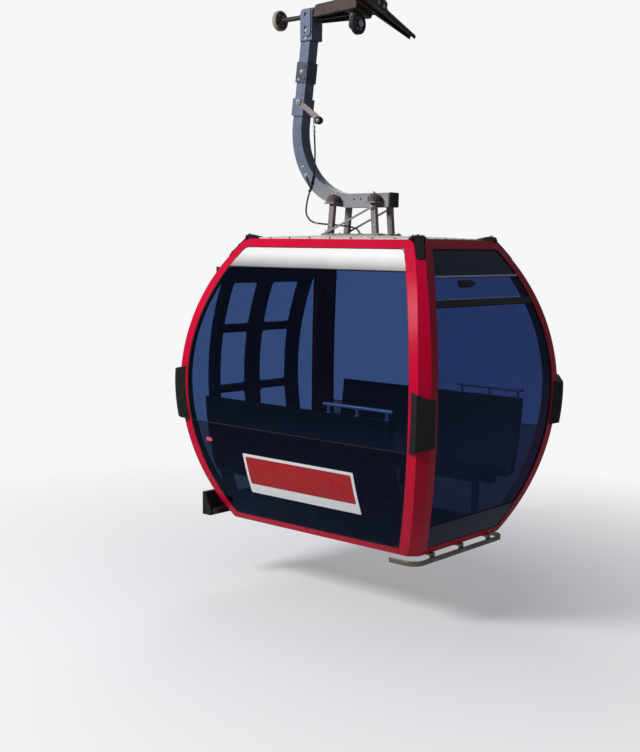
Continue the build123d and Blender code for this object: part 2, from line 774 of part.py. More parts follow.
# Door lever: an arm with a roller, on the clamp round the upright
arm_x = -hanger_width / 2 - clamp_wall - seat_gap
with BuildPart() as door_lever:
    with BuildSketch(Plane.YZ.offset(arm_x)):
        middle = [(start + end) / 2 for start, end in zip(lever_pivot, lever_tip)]
        SlotCenterPoint(middle, lever_tip, lever_arm_width)
    extrude(amount=-lever_arm_thickness)
    with BuildSketch(Plane.YZ.offset(arm_x - lever_arm_thickness)):
        with Locations(lever_tip):
            Circle(lever_roller_diameter / 2)
    extrude(amount=-lever_roller_width)
finish(door_lever.part, "door_lever")

# Suspension: ears on the bar, rubber buffers on them, four legs down to the roof
ear_top = base + bar_low + ear_rise
ear_y = [leg_middle + side * leg_spacing_y / 2 for side in (1, -1)]
with BuildPart() as ears:
    for side in (1, -1):
        for y in ear_y:
            ear_x = side * (hanger_width / 2 + seat_gap + ear_reach / 2)
            with Locations((ear_x, y, ear_top - ear_thickness / 2)):
                Box(ear_reach, buffer_diameter, ear_thickness)
finish(ears.part, "bar_ears")

with BuildPart() as buffers:
    with BuildSketch(Plane.XY.offset(ear_top + seat_gap)):
        with Locations(*[(side * leg_x, y) for side in (1, -1) for y in ear_y]):
            Circle(buffer_diameter / 2)
    extrude(amount=buffer_height)
    chamfer(buffers.faces().sort_by(Axis.Z)[-4:].edges(), length=buffer_edge)
finish(buffers.part, "rubber_buffers")

foot_top = roof_edge + roof_crown + foot_rise
with BuildPart() as legs:
    for side in (1, -1):
        for way, y in zip((1, -1), ear_y):
            top = Plane(origin=(side * leg_x, y, ear_top - ear_thickness - seat_gap))
            bottom = Plane(origin=(side * leg_x, y + way * leg_splay, foot_top))
            for plane in (top, bottom):
                with BuildSketch(plane):
                    Rectangle(leg_thickness, leg_width)
            loft()
finish(legs.part, "suspension_legs")

foot_low_z = roof_edge - roof_thickness / 2
foot_length = leg_spacing_y + 2 * (leg_splay + foot_margin)
with BuildPart() as roof_feet:
    for side in (1, -1):
        with BuildSketch(Plane.XY.offset(foot_low_z)):
            with Locations((side * leg_x, leg_middle)):
                RectangleRounded(foot_width, foot_length, foot_width / 8)
        extrude(amount=foot_top - seat_gap - foot_low_z)
    add(roof.part, mode=Mode.SUBTRACT)
finish(roof_feet.part, "roof_feet")

brace_x = leg_x + (leg_thickness + brace_diameter) / 2 + seat_gap
with BuildPart() as braces:
    for side in (1, -1):
        start = (side * brace_x, ear_y[1], ear_top - brace_drop)
        end = (side * brace_x, ear_y[0] + brace_reach, foot_top + brace_diameter / 2 + 2)
        with BuildLine() as brace_line:
            Line(start, end)
        with BuildSketch(Plane(origin=start, z_dir=brace_line.line % 0)):
            Circle(brace_diameter / 2)
        sweep(path=brace_line.line)
finish(braces.part, "suspension_braces")

# Cable from the door lever, clipped to the hanger and looped down into the roof
cable_diameter = 13
cable_stand = 4            # clear of the hanger
cable_x = -hanger_width / 2 - cable_diameter / 2 - cable_stand
gland_shift = 8            # from the cable's plane towards the middle
gland_y = 38
gland_diameter, gland_rise = 34, 14
cable_end = 19             # cable's end above the roof's crown
cable_run = [               # distance across, height above the roof's edge
    (508, 878), (498, 760), (492, 640), (500, 520), (530, 410), (572, 300), (586, 200),
    (530, 138), (420, 120), (320, 116), (220, 107), (130, 98), (62, 85),
]
cable_points = [(cable_x, y, roof_edge + z) for y, z in cable_run]
cable_points.append((cable_x + gland_shift, gland_y, roof_edge + roof_crown + cable_end))
turns = []
for before, at, after in zip(cable_points, cable_points[1:], cable_points[2:]):
    runs = [Vector(*at) - Vector(*before), Vector(*after) - Vector(*at)]
    half_turn = radians(runs[0].get_angle(runs[1]) / 2)
    turns.append(0.45 * min(run.length for run in runs) / tan(half_turn))
with BuildPart() as cable:
    with BuildLine() as cable_line:
        FilletPolyline(*cable_points, radius=turns)
    route = cable_line.line
    with BuildSketch(Plane(origin=route @ 0, z_dir=route % 0)):
        Circle(cable_diameter / 2)
    sweep(path=route)
finish(cable.part, "lever_cable")

with BuildPart() as gland:
    with BuildSketch(Plane.XY.offset(roof_edge)):
        with Locations((cable_x + gland_shift, gland_y)):
            Circle(gland_diameter / 2)
    extrude(amount=roof_crown + gland_rise)
    add(roof.part, mode=Mode.SUBTRACT)
    add(roof_feet.part, mode=Mode.SUBTRACT)
finish(gland.part, "cable_gland")

# Grip, drawn with the rope along X and then turned to the rope's slope
rope_radius = rope_diameter / 2
shoulder_y = head_inner - shoulder_length
guide_roller_y = head_outer + guide_roller_reach
running_inner = running_roller_y - roller_width / 2
running_outer = running_roller_y + roller_width / 2

lever_end = coupling_y - coupling_width / 2 - moving_gap
with BuildPart() as grip_body:
    side_points = list(zip(arm_widths, (arm_root, arm_knee, shoulder_y)))
    with BuildSketch(Plane.XY.offset(arm_low)):
        Polygon(*side_points, *[(-x, y) for x, y in reversed(side_points)], align=None)
    extrude(amount=arm_high - arm_low)
    fillet(grip_body.edges().filter_by(Plane.XY), radius=arm_edge)
    for z, way in ((arm_low, 1), (arm_high, -1)):
        with BuildSketch(Plane.XY.offset(z)):
            for side in (1, -1):
                Polygon(
                    (side * rib_width / 2, pocket_start),
                    (side * (arm_widths[1] - rib_width / 2), pocket_start),
                    (side * (arm_widths[1] - rib_width), arm_knee),
                    (side * (arm_widths[2] - rib_width), shoulder_y - rib_width),
                    (side * rib_width / 2, shoulder_y - rib_width),
                    align=None,
                )
        extrude(amount=way * pocket_depth, mode=Mode.SUBTRACT)
    for side in (1, -1):
        with BuildSketch(Plane.YZ.offset(side * lug_middle - lug_thickness / 2)):
            Polygon((lug_foot[0], arm_high - arm_edge), (pivot_y - lug_radius, pivot_z),
                    (pivot_y + lug_radius, pivot_z), (lug_foot[1], arm_high - arm_edge), align=None)
            with Locations((pivot_y, pivot_z)):
                Circle(lug_radius)
                Circle(pivot_radius, mode=Mode.SUBTRACT)
        extrude(amount=lug_thickness)
    with BuildSketch(Plane.YZ.offset(-jaw_half)):
        with Locations(((jaw_back - jaw_split) / 2, (jaw_low + jaw_high) / 2)):
            Rectangle(jaw_back + jaw_split, jaw_high - jaw_low)
        Circle(rope_radius, mode=Mode.SUBTRACT)
    extrude(amount=2 * jaw_half)
    with BuildSketch(Plane.XZ.offset(-(running_outer + 2 * moving_gap))):
        Polygon((-plate_root, arm_low + arm_edge), (-plate_radius, -running_roller_drop),
                (plate_radius, -running_roller_drop), (plate_root, arm_low + arm_edge), align=None)
        with Locations((0, -running_roller_drop)):
            Circle(plate_radius)
    extrude(amount=-hanger_plate)
    stubs = (               # radius, nearer end, farther end, height
        (axle_diameter / 2, running_inner - axle_end, running_outer + 3 * moving_gap,
         -running_roller_drop),
        (shoulder_radius, shoulder_y - arm_edge, head_inner - seat_gap, 0),
        (swing_pin / 2, shoulder_y, head_outer + pin_washer + axle_end, 0),
        (pin_washer_radius, head_outer + seat_gap, head_outer + seat_gap + pin_washer, 0),
        (stub_diameter / 2, head_outer, guide_roller_y - roller_width / 2 - seat_gap, 0),
        (axle_diameter / 2, head_outer, guide_roller_y + roller_width / 2 + axle_end, 0),
    )
    for radius, near, far, z in stubs:
        with BuildSketch(Plane.XZ.offset(-near)):
            with Locations((0, z)):
                Circle(radius)
        extrude(amount=near - far)
finish(grip_body.part.rotate(Axis.Y, rope_slope), "grip_body")

moving_split = jaw_split + moving_gap
bridge_low = jaw_high + moving_gap
jaw_points = (              # distance across, height: round the moving jaw's block
    (-jaw_reach, jaw_low), (-moving_split, jaw_low), (-moving_split, bridge_low),
    (bridge_end, bridge_low), (bridge_end, pivot_z), (-jaw_reach / 2, pivot_z - jaw_slant),
    (-jaw_reach, bridge_low + jaw_slant / 4),
)
lever_low = (pivot_y, pivot_z - lever_root), (lever_end, coupling_z - lever_tip_half)
lever_high = (pivot_y, pivot_z + hub_radius), (lever_end, coupling_z + lever_tip_half)


def between(ends, share):
    """A point on the straight edge between two ends."""
    (y_0, z_0), (y_1, z_1) = ends
    return y_0 + share * (y_1 - y_0), z_0 + share * (z_1 - z_0)


with BuildPart() as jaw:
    with BuildSketch(Plane.YZ.offset(moving_gap - jaw_half)):
        Polygon(*jaw_points, align=None)
        Circle(rope_radius, mode=Mode.SUBTRACT)
    extrude(amount=2 * (jaw_half - moving_gap))
    with BuildSketch(Plane.YZ.offset(-lever_half)):
        with Locations((pivot_y, pivot_z)):
            Circle(hub_radius)
        Polygon((bridge_end - neck, pivot_z - hub_radius), (pivot_y, pivot_z - hub_radius),
                (pivot_y, pivot_z + hub_radius), (bridge_end - neck, pivot_z), align=None)
        Polygon(*lever_low, *reversed(lever_high), align=None)
    extrude(amount=2 * lever_half)
    for side in (1, -1):
        with BuildSketch(Plane.YZ.offset(side * lever_half)) as pocket:
            Polygon(*[between(lever_low, share) for share in lever_pocket],
                    *[between(lever_high, share) for share in reversed(lever_pocket)], align=None)
            offset(amount=-lever_rim)
        extrude(amount=side * (lever_web / 2 - lever_half), mode=Mode.SUBTRACT)
    with BuildSketch(Plane.YZ.offset(-pivot_half)):
        with Locations((pivot_y, pivot_z)):
            Circle(pivot_radius - running_clearance)
    extrude(amount=2 * pivot_half)
    with BuildSketch(Plane.XZ.offset(-(lever_end - lever_rim))):
        with Locations((0, coupling_z)):
            Circle(coupling_pin / 2)
    extrude(amount=-(lever_rim + moving_gap + coupling_width + axle_end))
finish(jaw.part.rotate(Axis.Y, rope_slope), "clamping_jaw")

with BuildPart() as tongues:
    for side in (1, -1):
        for x, radius in zip((jaw_half + seat_gap, jaw_half + tongue_length), tongue_radii):
            with BuildSketch(Plane.YZ.offset(side * x)):
                Circle(radius)
        loft()
    slit = 4 * tongue_radii[0]
    with BuildSketch(Plane.YZ.offset(-jaw_half - tongue_length - 1)):
        Circle(rope_radius + seat_gap)
        with Locations((0, jaw_low - slit / 2)):
            Rectangle(slit, slit)
    extrude(amount=2 * (jaw_half + tongue_length + 1), mode=Mode.SUBTRACT)
finish(tongues.part.rotate(Axis.Y, rope_slope), "rope_tongues")

rollers = (                 # name, distance across, height, diameter, width, pin
    ("running_roller", running_roller_y, -running_roller_drop, roller_diameter, roller_width,
     axle_diameter),
    ("guide_roller", guide_roller_y, 0, roller_diameter, roller_width, axle_diameter),
    ("coupling_roller", coupling_y, coupling_z, coupling_diameter, coupling_width, coupling_pin),
)
for name, y, z, diameter, width, bore in rollers:
    with BuildPart() as roller:
        with BuildSketch(Plane.XZ.offset(width / 2 - y)):
            with Locations((0, z)):
                Circle(diameter / 2)
                Circle(bore / 2 + running_clearance, mode=Mode.SUBTRACT)
        extrude(amount=-width)
        rims = roller.edges().filter_by(GeomType.CIRCLE).sort_by(SortBy.RADIUS)[-2:]
        chamfer(rims, length=roller_edge)
        for face_y, way in ((y - width / 2, -1), (y + width / 2, 1)):
            with BuildSketch(Plane.XZ.offset(-face_y)):
                with Locations((0, z)):
                    Circle(diameter / 2 - tread_depth)
                    Circle(bore / 2 + hub_wall, mode=Mode.SUBTRACT)
            extrude(amount=way * width / 4, mode=Mode.SUBTRACT)
    finish(roller.part.rotate(Axis.Y, rope_slope), name)

# Closing springs: square wire wound round the pivot outside the lugs, with its edges broken
coil_radius = pivot_radius + seat_gap + spring_wire / 2
coil_start = lug_middle + (lug_thickness + spring_wire) / 2 + seat_gap
coil_pitch = 0.95 * spring_wire
with BuildPart() as springs:
    with BuildSketch(Plane.XY.offset(pivot_z)):
        for turn in range(spring_turns):
            coil_x = coil_start + turn * coil_pitch
            with Locations((coil_x, pivot_y + coil_radius), (-coil_x, pivot_y + coil_radius)):
                RegularPolygon(spring_wire / 2 / cos(radians(22.5)), side_count=8, rotation=22.5)
    revolve(axis=Axis((0, pivot_y, pivot_z), (1, 0, 0)))
finish(springs.part.rotate(Axis.Y, rope_slope), "jaw_springs")
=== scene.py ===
"""Looks of a gondola cabin with its hanger and grip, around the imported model. Metres, +Z up."""
from math import cos, pi, radians, sin, sqrt, tan

import bmesh
import bpy
from mathutils import Matrix, Vector


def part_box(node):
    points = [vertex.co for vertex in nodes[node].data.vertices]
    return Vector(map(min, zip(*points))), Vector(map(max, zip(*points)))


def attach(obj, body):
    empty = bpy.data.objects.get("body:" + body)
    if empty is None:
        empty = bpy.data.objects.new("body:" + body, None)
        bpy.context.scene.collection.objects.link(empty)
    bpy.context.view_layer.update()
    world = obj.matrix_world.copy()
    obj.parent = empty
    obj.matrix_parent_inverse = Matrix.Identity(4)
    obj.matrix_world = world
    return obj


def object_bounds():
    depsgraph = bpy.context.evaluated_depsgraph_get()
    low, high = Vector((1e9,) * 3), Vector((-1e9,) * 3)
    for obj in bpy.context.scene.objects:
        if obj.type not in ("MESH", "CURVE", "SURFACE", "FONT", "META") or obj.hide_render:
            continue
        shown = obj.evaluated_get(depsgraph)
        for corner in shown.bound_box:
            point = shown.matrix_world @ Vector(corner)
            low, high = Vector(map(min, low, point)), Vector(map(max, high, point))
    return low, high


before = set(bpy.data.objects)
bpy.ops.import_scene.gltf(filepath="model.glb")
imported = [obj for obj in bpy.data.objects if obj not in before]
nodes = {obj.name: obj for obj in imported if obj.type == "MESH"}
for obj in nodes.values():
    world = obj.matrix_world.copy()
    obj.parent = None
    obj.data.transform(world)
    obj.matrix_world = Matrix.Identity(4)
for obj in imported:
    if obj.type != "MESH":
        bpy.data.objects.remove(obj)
cad_low, cad_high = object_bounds()
scene = bpy.context.scene


# Camera
# Level with the cabin's lower half and aside of its rear end, as the photograph has it.
camera_place = Vector((-6.831, -5.500, -1.777))
yaw, pitch, roll = 0.718, 0.114, 0.012
focal_px, frame_px, sensor_mm = 1140.6, 752, 36

forward = Vector((cos(yaw) * cos(pitch), sin(yaw) * cos(pitch), -sin(pitch)))
level_right = Vector((sin(yaw), -cos(yaw), 0))
level_up = level_right.cross(forward)
right = cos(roll) * level_right + sin(roll) * level_up
up = cos(roll) * level_up - sin(roll) * level_right


def put(name, data):
    """Puts the camera, a lamp or a mesh into the scene."""
    made = bpy.data.objects.new(name, data)
    scene.collection.objects.link(made)
    return made


eye = bpy.data.cameras.new("eye")
eye.lens = focal_px * sensor_mm / frame_px
eye.sensor_width = sensor_mm
camera = put("camera", eye)
turn = Matrix((right, up, -forward)).transposed()
camera.matrix_world = Matrix.Translation(camera_place) @ turn.to_4x4()
scene.camera = camera


# Studio
# A pale floor under the hanging cabin that fades into a white surround, and three soft lamps:
# the key before the rear end, a weak fill for the doorless side, and a lamp behind the cabin
# that draws the edges of what stands inside.
floor_drop = 0.45
floor_reach = 60
fade_start, fade_end = 1.2, 5.5
surround, matte_floor = "#f6f7f8", "#dfe0e1"
gloss_share = 0.14


def linear(colour):
    """An sRGB hex value as linear red, green, blue and alpha."""
    parts = [int(colour[i:i + 2], 16) / 255 for i in (1, 3, 5)]
    return tuple(p / 12.92 if p <= 0.04045 else ((p + 0.055) / 1.055) ** 2.4 for p in parts) + (1,)


def add(owner, kind, inputs=None, **settings):
    """Adds a node. inputs maps its sockets to values, hex colours, nodes, sockets or lists."""
    tree = getattr(owner, "node_tree", owner)
    prefix = "" if kind.startswith(("GeometryNode", "FunctionNode", "NodeGroup")) else "ShaderNode"
    node = tree.nodes.new(prefix + kind)
    for name, value in settings.items():
        setattr(node, name, value)
    for name, value in (inputs or {}).items():
        for source in value if isinstance(value, list) else [value]:
            if isinstance(source, bpy.types.Node):
                source = next(socket for socket in source.outputs if socket.enabled)
            if isinstance(source, bpy.types.NodeSocket):
                tree.links.new(source, node.inputs[name])
            elif isinstance(source, str) and source.startswith("#"):
                node.inputs[name].default_value = linear(source)
            else:
                node.inputs[name].default_value = source
    return node


def blank(owner):
    """Turns on an owner's node tree and empties it."""
    owner.use_nodes = True
    owner.node_tree.nodes.clear()
    return owner


def seen_white(owner):
    """How much of the white surround a ray sees: all of it when looking, a part in gloss."""
    path = add(owner, "LightPath").outputs
    looks = add(owner, "Math", {0: path["Is Camera Ray"], 1: path["Is Transmission Ray"]},
                operation="ADD")
    return add(owner, "Math", {0: path["Is Glossy Ray"], 1: gloss_share, 2: looks},
               operation="MULTIPLY_ADD", use_clamp=True)


world = blank(bpy.data.worlds.new("studio"))
backdrop = add(world, "Background", {"Color": surround, "Strength": 1.0})
daylight = add(world, "Background", {"Color": "#c9d6ee", "Strength": 0.16})
either = add(world, "MixShader", {0: seen_white(world), 1: daylight, 2: backdrop})
add(world, "OutputWorld", {"Surface": either})
scene.world = world

pale = blank(bpy.data.materials.new("matte_studio_floor"))
place = add(pale, "TexCoord").outputs["Object"]
plan = add(pale, "VectorMath", {0: place, 1: (1, 1, 0)}, operation="MULTIPLY")
distance = add(pale, "VectorMath", {0: plan}, operation="LENGTH").outputs["Value"]
fade = add(pale, "MapRange", {"Value": distance, "From Min": fade_start, "From Max": fade_end,
                              "To Min": 0.3})
matte = add(pale, "BsdfDiffuse", {"Color": matte_floor})
strength = add(pale, "MapRange", {"Value": seen_white(pale), "To Min": 0.2})
glow = add(pale, "Emission", {"Color": surround, "Strength": strength})
add(pale, "OutputMaterial", {"Surface": add(pale, "MixShader", {0: fade, 1: matte, 2: glow})})

floor_mesh = bpy.data.meshes.new("studio_floor")
floor_z = cad_low.z - floor_drop
corners = ((-1, -1), (1, -1), (1, 1), (-1, 1))
floor_mesh.from_pydata([(x * floor_reach, y * floor_reach, floor_z) for x, y in corners], [],
                       [(0, 1, 2, 3)])
floor_mesh.materials.append(pale)
put("studio_floor", floor_mesh)

lamps = (                   # name, place, size, watts
    ("key", (-8.5, 3.0, 3.4), 3.0, 1300),
    ("fill", (1.5, -9.0, 0.5), 6.0, 10),
    ("back", (7.5, 6.5, 3.5), 4.0, 300),
)
for name, spot, size, watts in lamps:
    lamp = bpy.data.lights.new(name, "AREA")
    lamp.size = size
    lamp.energy = watts
    placed = put(name, lamp)
    placed.location = spot
    aim = Vector((0, 0, (cad_low.z + cad_high.z) / 2)) - Vector(spot)
    placed.rotation_euler = aim.to_track_quat("-Z", "Y").to_euler()
scene.view_settings.view_transform = "Standard"
scene.cycles.transparent_max_bounces = 24


# Red frame
# Curved aluminium mouldings with a crimson gloss powder coat, whose faint orange peel breaks
# long highlights. Roof moulding, posts and sill meet in thin rubber-filled joints.
post_width = 0.078
corner_leg = 0.059
opening_low, opening_high = 0.050, 2.138
opening_round = 0.034
seam_height, sill_height = 1.985, 0.110
belt = 1.100
walls = {                   # half size at the belt, bulge radius below and above it
    "end": (0.876, 2.090, 1.810),
    "side": (1.208, 2.200, 1.900),
}
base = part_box("sill_frame")[0].z


def reach(face, height, inset=0.0):
    """Distance of a wall from the cabin's middle at a height above its lower edge."""
    half, low_radius, high_radius = walls[face]
    radius = low_radius if height < belt else high_radius
    return half - radius + sqrt((radius - inset) ** 2 - (height - belt) ** 2)


def facing(face, side, height):
    """The way that a wall faces at a height."""
    half, low_radius, high_radius = walls[face]
    slope = (height - belt) / (low_radius if height < belt else high_radius)
    flat = side * sqrt(1 - slope**2)
    return Vector((flat, 0, slope) if face == "end" else (0, flat, slope))


def on_wall(face, side, across, height, inset=0.0):
    """A point of a wall: across is X on the side walls and Y on the end walls."""
    away = side * reach(face, height, inset)
    return Vector((away, across, base + height) if face == "end" else (across, away, base + height))


def opening_half(face, height):
    """Half width of the frame's opening in a wall at a height."""
    return reach("side" if face == "end" else "end", height) - corner_leg - post_width


def wall_line(face, side, points, inset=0.0):
    """Stops of place and facing on a wall, through points of (across, height)."""
    return [(on_wall(face, side, u, h, inset), facing(face, side, h)) for u, h in points]


def bend(start, corner, stop, count=4):
    """Points of a rounded corner after its start."""
    shares = [i / count for i in range(1, count + 1)]
    return [(1 - t) ** 2 * start + 2 * t * (1 - t) * corner + t**2 * stop for t in shares]


def window_outline(low, high, half_at, steps=12):
    """Outline (across, height) of a window whose half width depends on the height."""
    heights = [low + opening_round + i * (high - low - 2 * opening_round) / steps
               for i in range(steps + 1)]
    rise = [Vector((half_at(h), h)) for h in heights]
    low_corner, high_corner = Vector((half_at(low), low)), Vector((half_at(high), high))
    inward = Vector((opening_round, 0))
    half = [low_corner - inward] + bend(low_corner - inward, low_corner, rise[0]) + rise[1:]
    half += bend(rise[-1], high_corner, high_corner - inward)
    return half + [Vector((-point.x, point.y)) for point in reversed(half)]


def skin(shape, rings, looped=False):
    """Adds the faces between rings of corners, and those of the ends unless the rings loop."""
    for ring, above in zip(rings, rings[1:] + (rings[:1] if looped else [])):
        size = max(len(ring), len(above))
        for i in range(size):
            j = (i + 1) % size
            corners = [ring[i % len(ring)], ring[j % len(ring)],
                       above[j % len(above)], above[i % len(above)]]
            shape.faces.new(list(dict.fromkeys(corners)))
    if not looped:
        for end in (rings[0][::-1], rings[-1]):
            if len(end) > 1:
                shape.faces.new(end)


def mirrored(*half):
    """A bar's section, from points (sideways, outward) of its right half with its foot first."""
    section = list(half) + [(-s, n) for s, n in reversed(half) if s]
    return section[-1:] + section[:-1]


def sweep(shape, stops, section, closed=False):
    """Adds a bar along stops of place and facing. The section holds (sideways, outward)."""
    rings = []
    count = len(stops)
    stops = [(Vector(spot), Vector(outward)) for spot, outward in stops]
    for index, (spot, outward) in enumerate(stops):
        after = stops[(index + 1) % count][0] if closed or index < count - 1 else spot
        before = stops[index - 1][0] if closed or index else spot
        along = (after - before).normalized()
        sideways = along.cross(outward).normalized()
        rings.append([shape.verts.new(spot + s * sideways + n * outward) for s, n in section])
    skin(shape, rings, looped=closed)


def piece(name, mesh, body):
    """Makes a mesh a piece of the object that rides on a body."""
    made = put(name, mesh)
    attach(made, body)


def make(name, shape, material, body="carrier", sharp=35):
    """Turns a bmesh into a piece, smooth up to an angle of its edges."""
    bmesh.ops.remove_doubles(shape, verts=shape.verts, dist=1e-6)
    bmesh.ops.recalc_face_normals(shape, faces=shape.faces)
    mesh = bpy.data.meshes.new(name)
    shape.to_mesh(mesh)
    shape.free()
    mesh.shade_smooth()
    mesh.set_sharp_from_angle(angle=radians(sharp))
    mesh.materials.append(material)
    piece(name, mesh, body)


def wear(material, *names):
    """Gives CAD nodes a material."""
    for name in names:
        nodes[name].data.materials.clear()
        nodes[name].data.materials.append(material)


def finish(name, tones, mottle, spread=(0, 1, 0, 1), dull=None, dust=None, stretch=None,
           relief=None, edge=None, **gloss):
    """A material of one tone, or of two that noise mottles, with a relief and softened edges.

    mottle holds the noise's scale and detail, and stretch scales its axes. spread turns it into
    the share of the second tone, and dull into roughness, both as (from, to, least, most). Where
    dust holds a scale and detail, that noise dulls instead. relief holds (kind of pattern, scale,
    detail, depth), edge a radius, and gloss what else the shader gets.
    """
    owner = blank(bpy.data.materials.new(name))
    place = add(owner, "TexCoord").outputs["Object"]
    drawn = add(owner, "Mapping", {"Vector": place, "Scale": stretch}) if stretch else place
    noise = add(owner, "TexNoise", {"Vector": drawn, "Scale": mottle[0], "Detail": mottle[1]})
    ends = ("From Min", "From Max", "To Min", "To Max")
    surface = {"Base Color": tones}
    if isinstance(tones, tuple):
        share = add(owner, "MapRange", {"Value": noise, **dict(zip(ends, spread))})
        surface["Base Color"] = add(owner, "Mix", {0: share, 6: tones[0], 7: tones[1]},
                                    data_type="RGBA")
    if dust:
        noise = add(owner, "TexNoise", {"Vector": place, "Scale": dust[0], "Detail": dust[1]})
    if dull:
        surface["Roughness"] = add(owner, "MapRange", {"Value": noise, **dict(zip(ends, dull))})
    if edge:
        surface["Normal"] = add(owner, "Bevel", {"Radius": edge}, samples=4)
    if relief:
        kind, scale, detail, depth = relief
        pattern = add(owner, kind, {"Vector": place, "Scale": scale, "Detail": detail})
        under = {"Normal": surface["Normal"]} if edge else {}
        surface["Normal"] = add(owner, "Bump", {"Height": pattern, "Distance": depth, **under})
    for key, value in gloss.items():
        surface[key.replace("_", " ")] = value
    add(owner, "OutputMaterial", {"Surface": add(owner, "BsdfPrincipled", surface)})
    return owner


# Powder coat: deep crimson gloss, peel of about 8 mm, dust that dulls it in patches.
red_coat = finish("crimson_powder_coat", ("#b3002a", "#c40232"), (1.6, 3), dust=(5, 6),
                  dull=(0.35, 0.7, 0.26, 0.4), relief=("TexNoise", 120, 1, 0.0002), edge=0.004,
                  Specular_IOR_Level=0.14, Coat_Weight=0.08, Coat_Roughness=0.08)
wear(red_coat, "roof_moulding", "corner_posts", "sill_frame")

# Rubber: extruded EPDM, matt, with the pale bloom that it gets outdoors. Its fine skin is drawn
# 2 mm coarse so that it shows.
rubber = finish("extruded_epdm_rubber", ("#0f0f10", "#232222"), (30, 6),
                relief=("TexNoise", 500, 2, 0.0003), Roughness=0.72, Specular_IOR_Level=0.3)

gasket_section = ((-0.0005, -0.010), (0.007, -0.010), (0.007, -0.004), (0.004, 0.0), (-0.0005, 0.0))
shape = bmesh.new()
for face, turn_side in (("end", -1), ("side", 1)):
    points = window_outline(opening_low, opening_high, lambda h: opening_half(face, h))
    for side in (1, -1):
        sweep(shape, wall_line(face, side, points, 0.002),
              [(turn_side * side * s, n) for s, n in gasket_section], closed=True)
make("frame_gaskets", shape, rubber)

joint_half = 0.0015
shape = bmesh.new()
for height in (seam_height, sill_height):
    for x in (1, -1):
        for y in (1, -1):
            end_x, side_y = reach("end", height), reach("side", height)
            turns = (
                (end_x, side_y - corner_leg - post_width, (1, 0)),
                (end_x, side_y - corner_leg, (1, 0.4)),
                (end_x - corner_leg, side_y, (0.4, 1)),
                (end_x - corner_leg - post_width, side_y, (0, 1)),
            )
            stops = [(Vector((x * px, y * py, base + height)),
                      Vector((x * nx, y * ny, 0)).normalized()) for px, py, (nx, ny) in turns]
            sweep(shape, stops, mirrored((joint_half, -0.006), (joint_half, 0.0004)))
make("frame_joints", shape, rubber)


# End walls
# Silver lacquered aluminium fascia above a tinted pane, and a smoked pane below the belt line
# that hides the bench. Rubber strips close the joints between them.
band_top = 0.790
pane_joint = 0.004
# Metallic lacquer: satin, with flakes drawn 1 mm coarse to show. Its tone is painted paler
# towards the upper edge: a painted reflection of bright light from above.
silver = blank(bpy.data.materials.new("silver_metallic_lacquer"))
place = add(silver, "TexCoord").outputs["Object"]
clouds = add(silver, "TexNoise", {"Vector": place, "Scale": 7.0, "Detail": 4.0})
height = add(silver, "SeparateXYZ", {"Vector": place}).outputs["Z"]
# Painted reflection: the tone pales with height up to the opening's top.
rise = add(silver, "MapRange", {"Value": height, "From Min": base + seam_height,
                                "From Max": base + opening_high})
clouds_and_painted_reflection = add(silver, "Math", {0: clouds, 1: 0.12, 2: rise}, operation="MULTIPLY_ADD")
share = add(silver, "MapRange", {"Value": clouds_and_painted_reflection, "From Min": 0.05, "From Max": 0.75})
tone = add(silver, "Mix", {0: share, 6: "#7b7775", 7: "#eceae8"}, data_type="RGBA")
flakes = add(silver, "TexNoise", {"Vector": place, "Scale": 900.0, "Detail": 1.0})
sparkle = add(silver, "Bump", {"Height": flakes, "Distance": 0.00006})
shader = add(silver, "BsdfPrincipled", {
    "Base Color": tone, "Metallic": 0.35, "Roughness": 0.36, "Normal": sparkle,
    "Coat Weight": 0.3, "Coat Roughness": 0.06})
add(silver, "OutputMaterial", {"Surface": shader})
wear(silver, "end_fascias")

# Solar glass: tinted through its mass, with a thin film of dust that blurs its gloss in patches.
panes = (                   # material, tint of light through one face, gloss colour, CAD nodes
    ("blue_grey_solar_glass", "#b1bfd6", "#7c93cc",
     ("end_windows", "door_side_panes", "door_glass_front", "door_glass_rear")),
    ("dark_solar_glass", "#94a0bf", "#7c93cc", ("side_window", "vent_window")),
    ("smoked_solar_glass", "#92969f", "#6f83b4", ("end_lower_panels",)),
)
for name, tint, sheen, holders in panes:
    pane = blank(bpy.data.materials.new(name))
    place = add(pane, "TexCoord").outputs["Object"]
    film = add(pane, "TexNoise", {"Vector": place, "Scale": 2.5, "Detail": 5.0})
    smear = add(pane, "MapRange", {"Value": film, "From Min": 0.4, "From Max": 0.7,
                                   "To Min": 0.0, "To Max": 0.03})
    through = add(pane, "BsdfTransparent", {"Color": tint})
    mirror = add(pane, "BsdfGlossy", {"Color": sheen, "Roughness": smear})
    slant = add(pane, "Fresnel", {"IOR": 1.52})
    inside = add(pane, "NewGeometry").outputs["Backfacing"]
    front = add(pane, "Math", {0: 1.0, 1: inside}, operation="SUBTRACT")
    share = add(pane, "Math", {0: slant, 1: front}, operation="MULTIPLY")
    add(pane, "OutputMaterial", {"Surface": add(pane, "MixShader", {0: share, 1: through,
                                                                     2: mirror})})
    wear(pane, *holders)

shape = bmesh.new()
joints = (                  # wall, sides, lower edge, upper edge
    ("end", (1, -1), seam_height, seam_height + pane_joint),
    ("end", (1, -1), band_top - pane_joint, band_top),
    ("side", (-1,), 1.946, 1.950),
    ("side", (-1,), 1.748, 1.752),
    ("side", (-1,), 0.232, 0.236),
)
for face, sides, low, high in joints:
    for side in sides:
        height = (low + high) / 2
        half = opening_half(face, height) - 0.002
        lap = (high - low) / 2 + 0.001
        sweep(shape, wall_line(face, side, ((-half, height), (half, height)), 0.003),
              mirrored((lap, -0.012), (lap, -0.003), (lap - 0.001, -0.002)))
make("pane_joint_strips", shape, rubber)


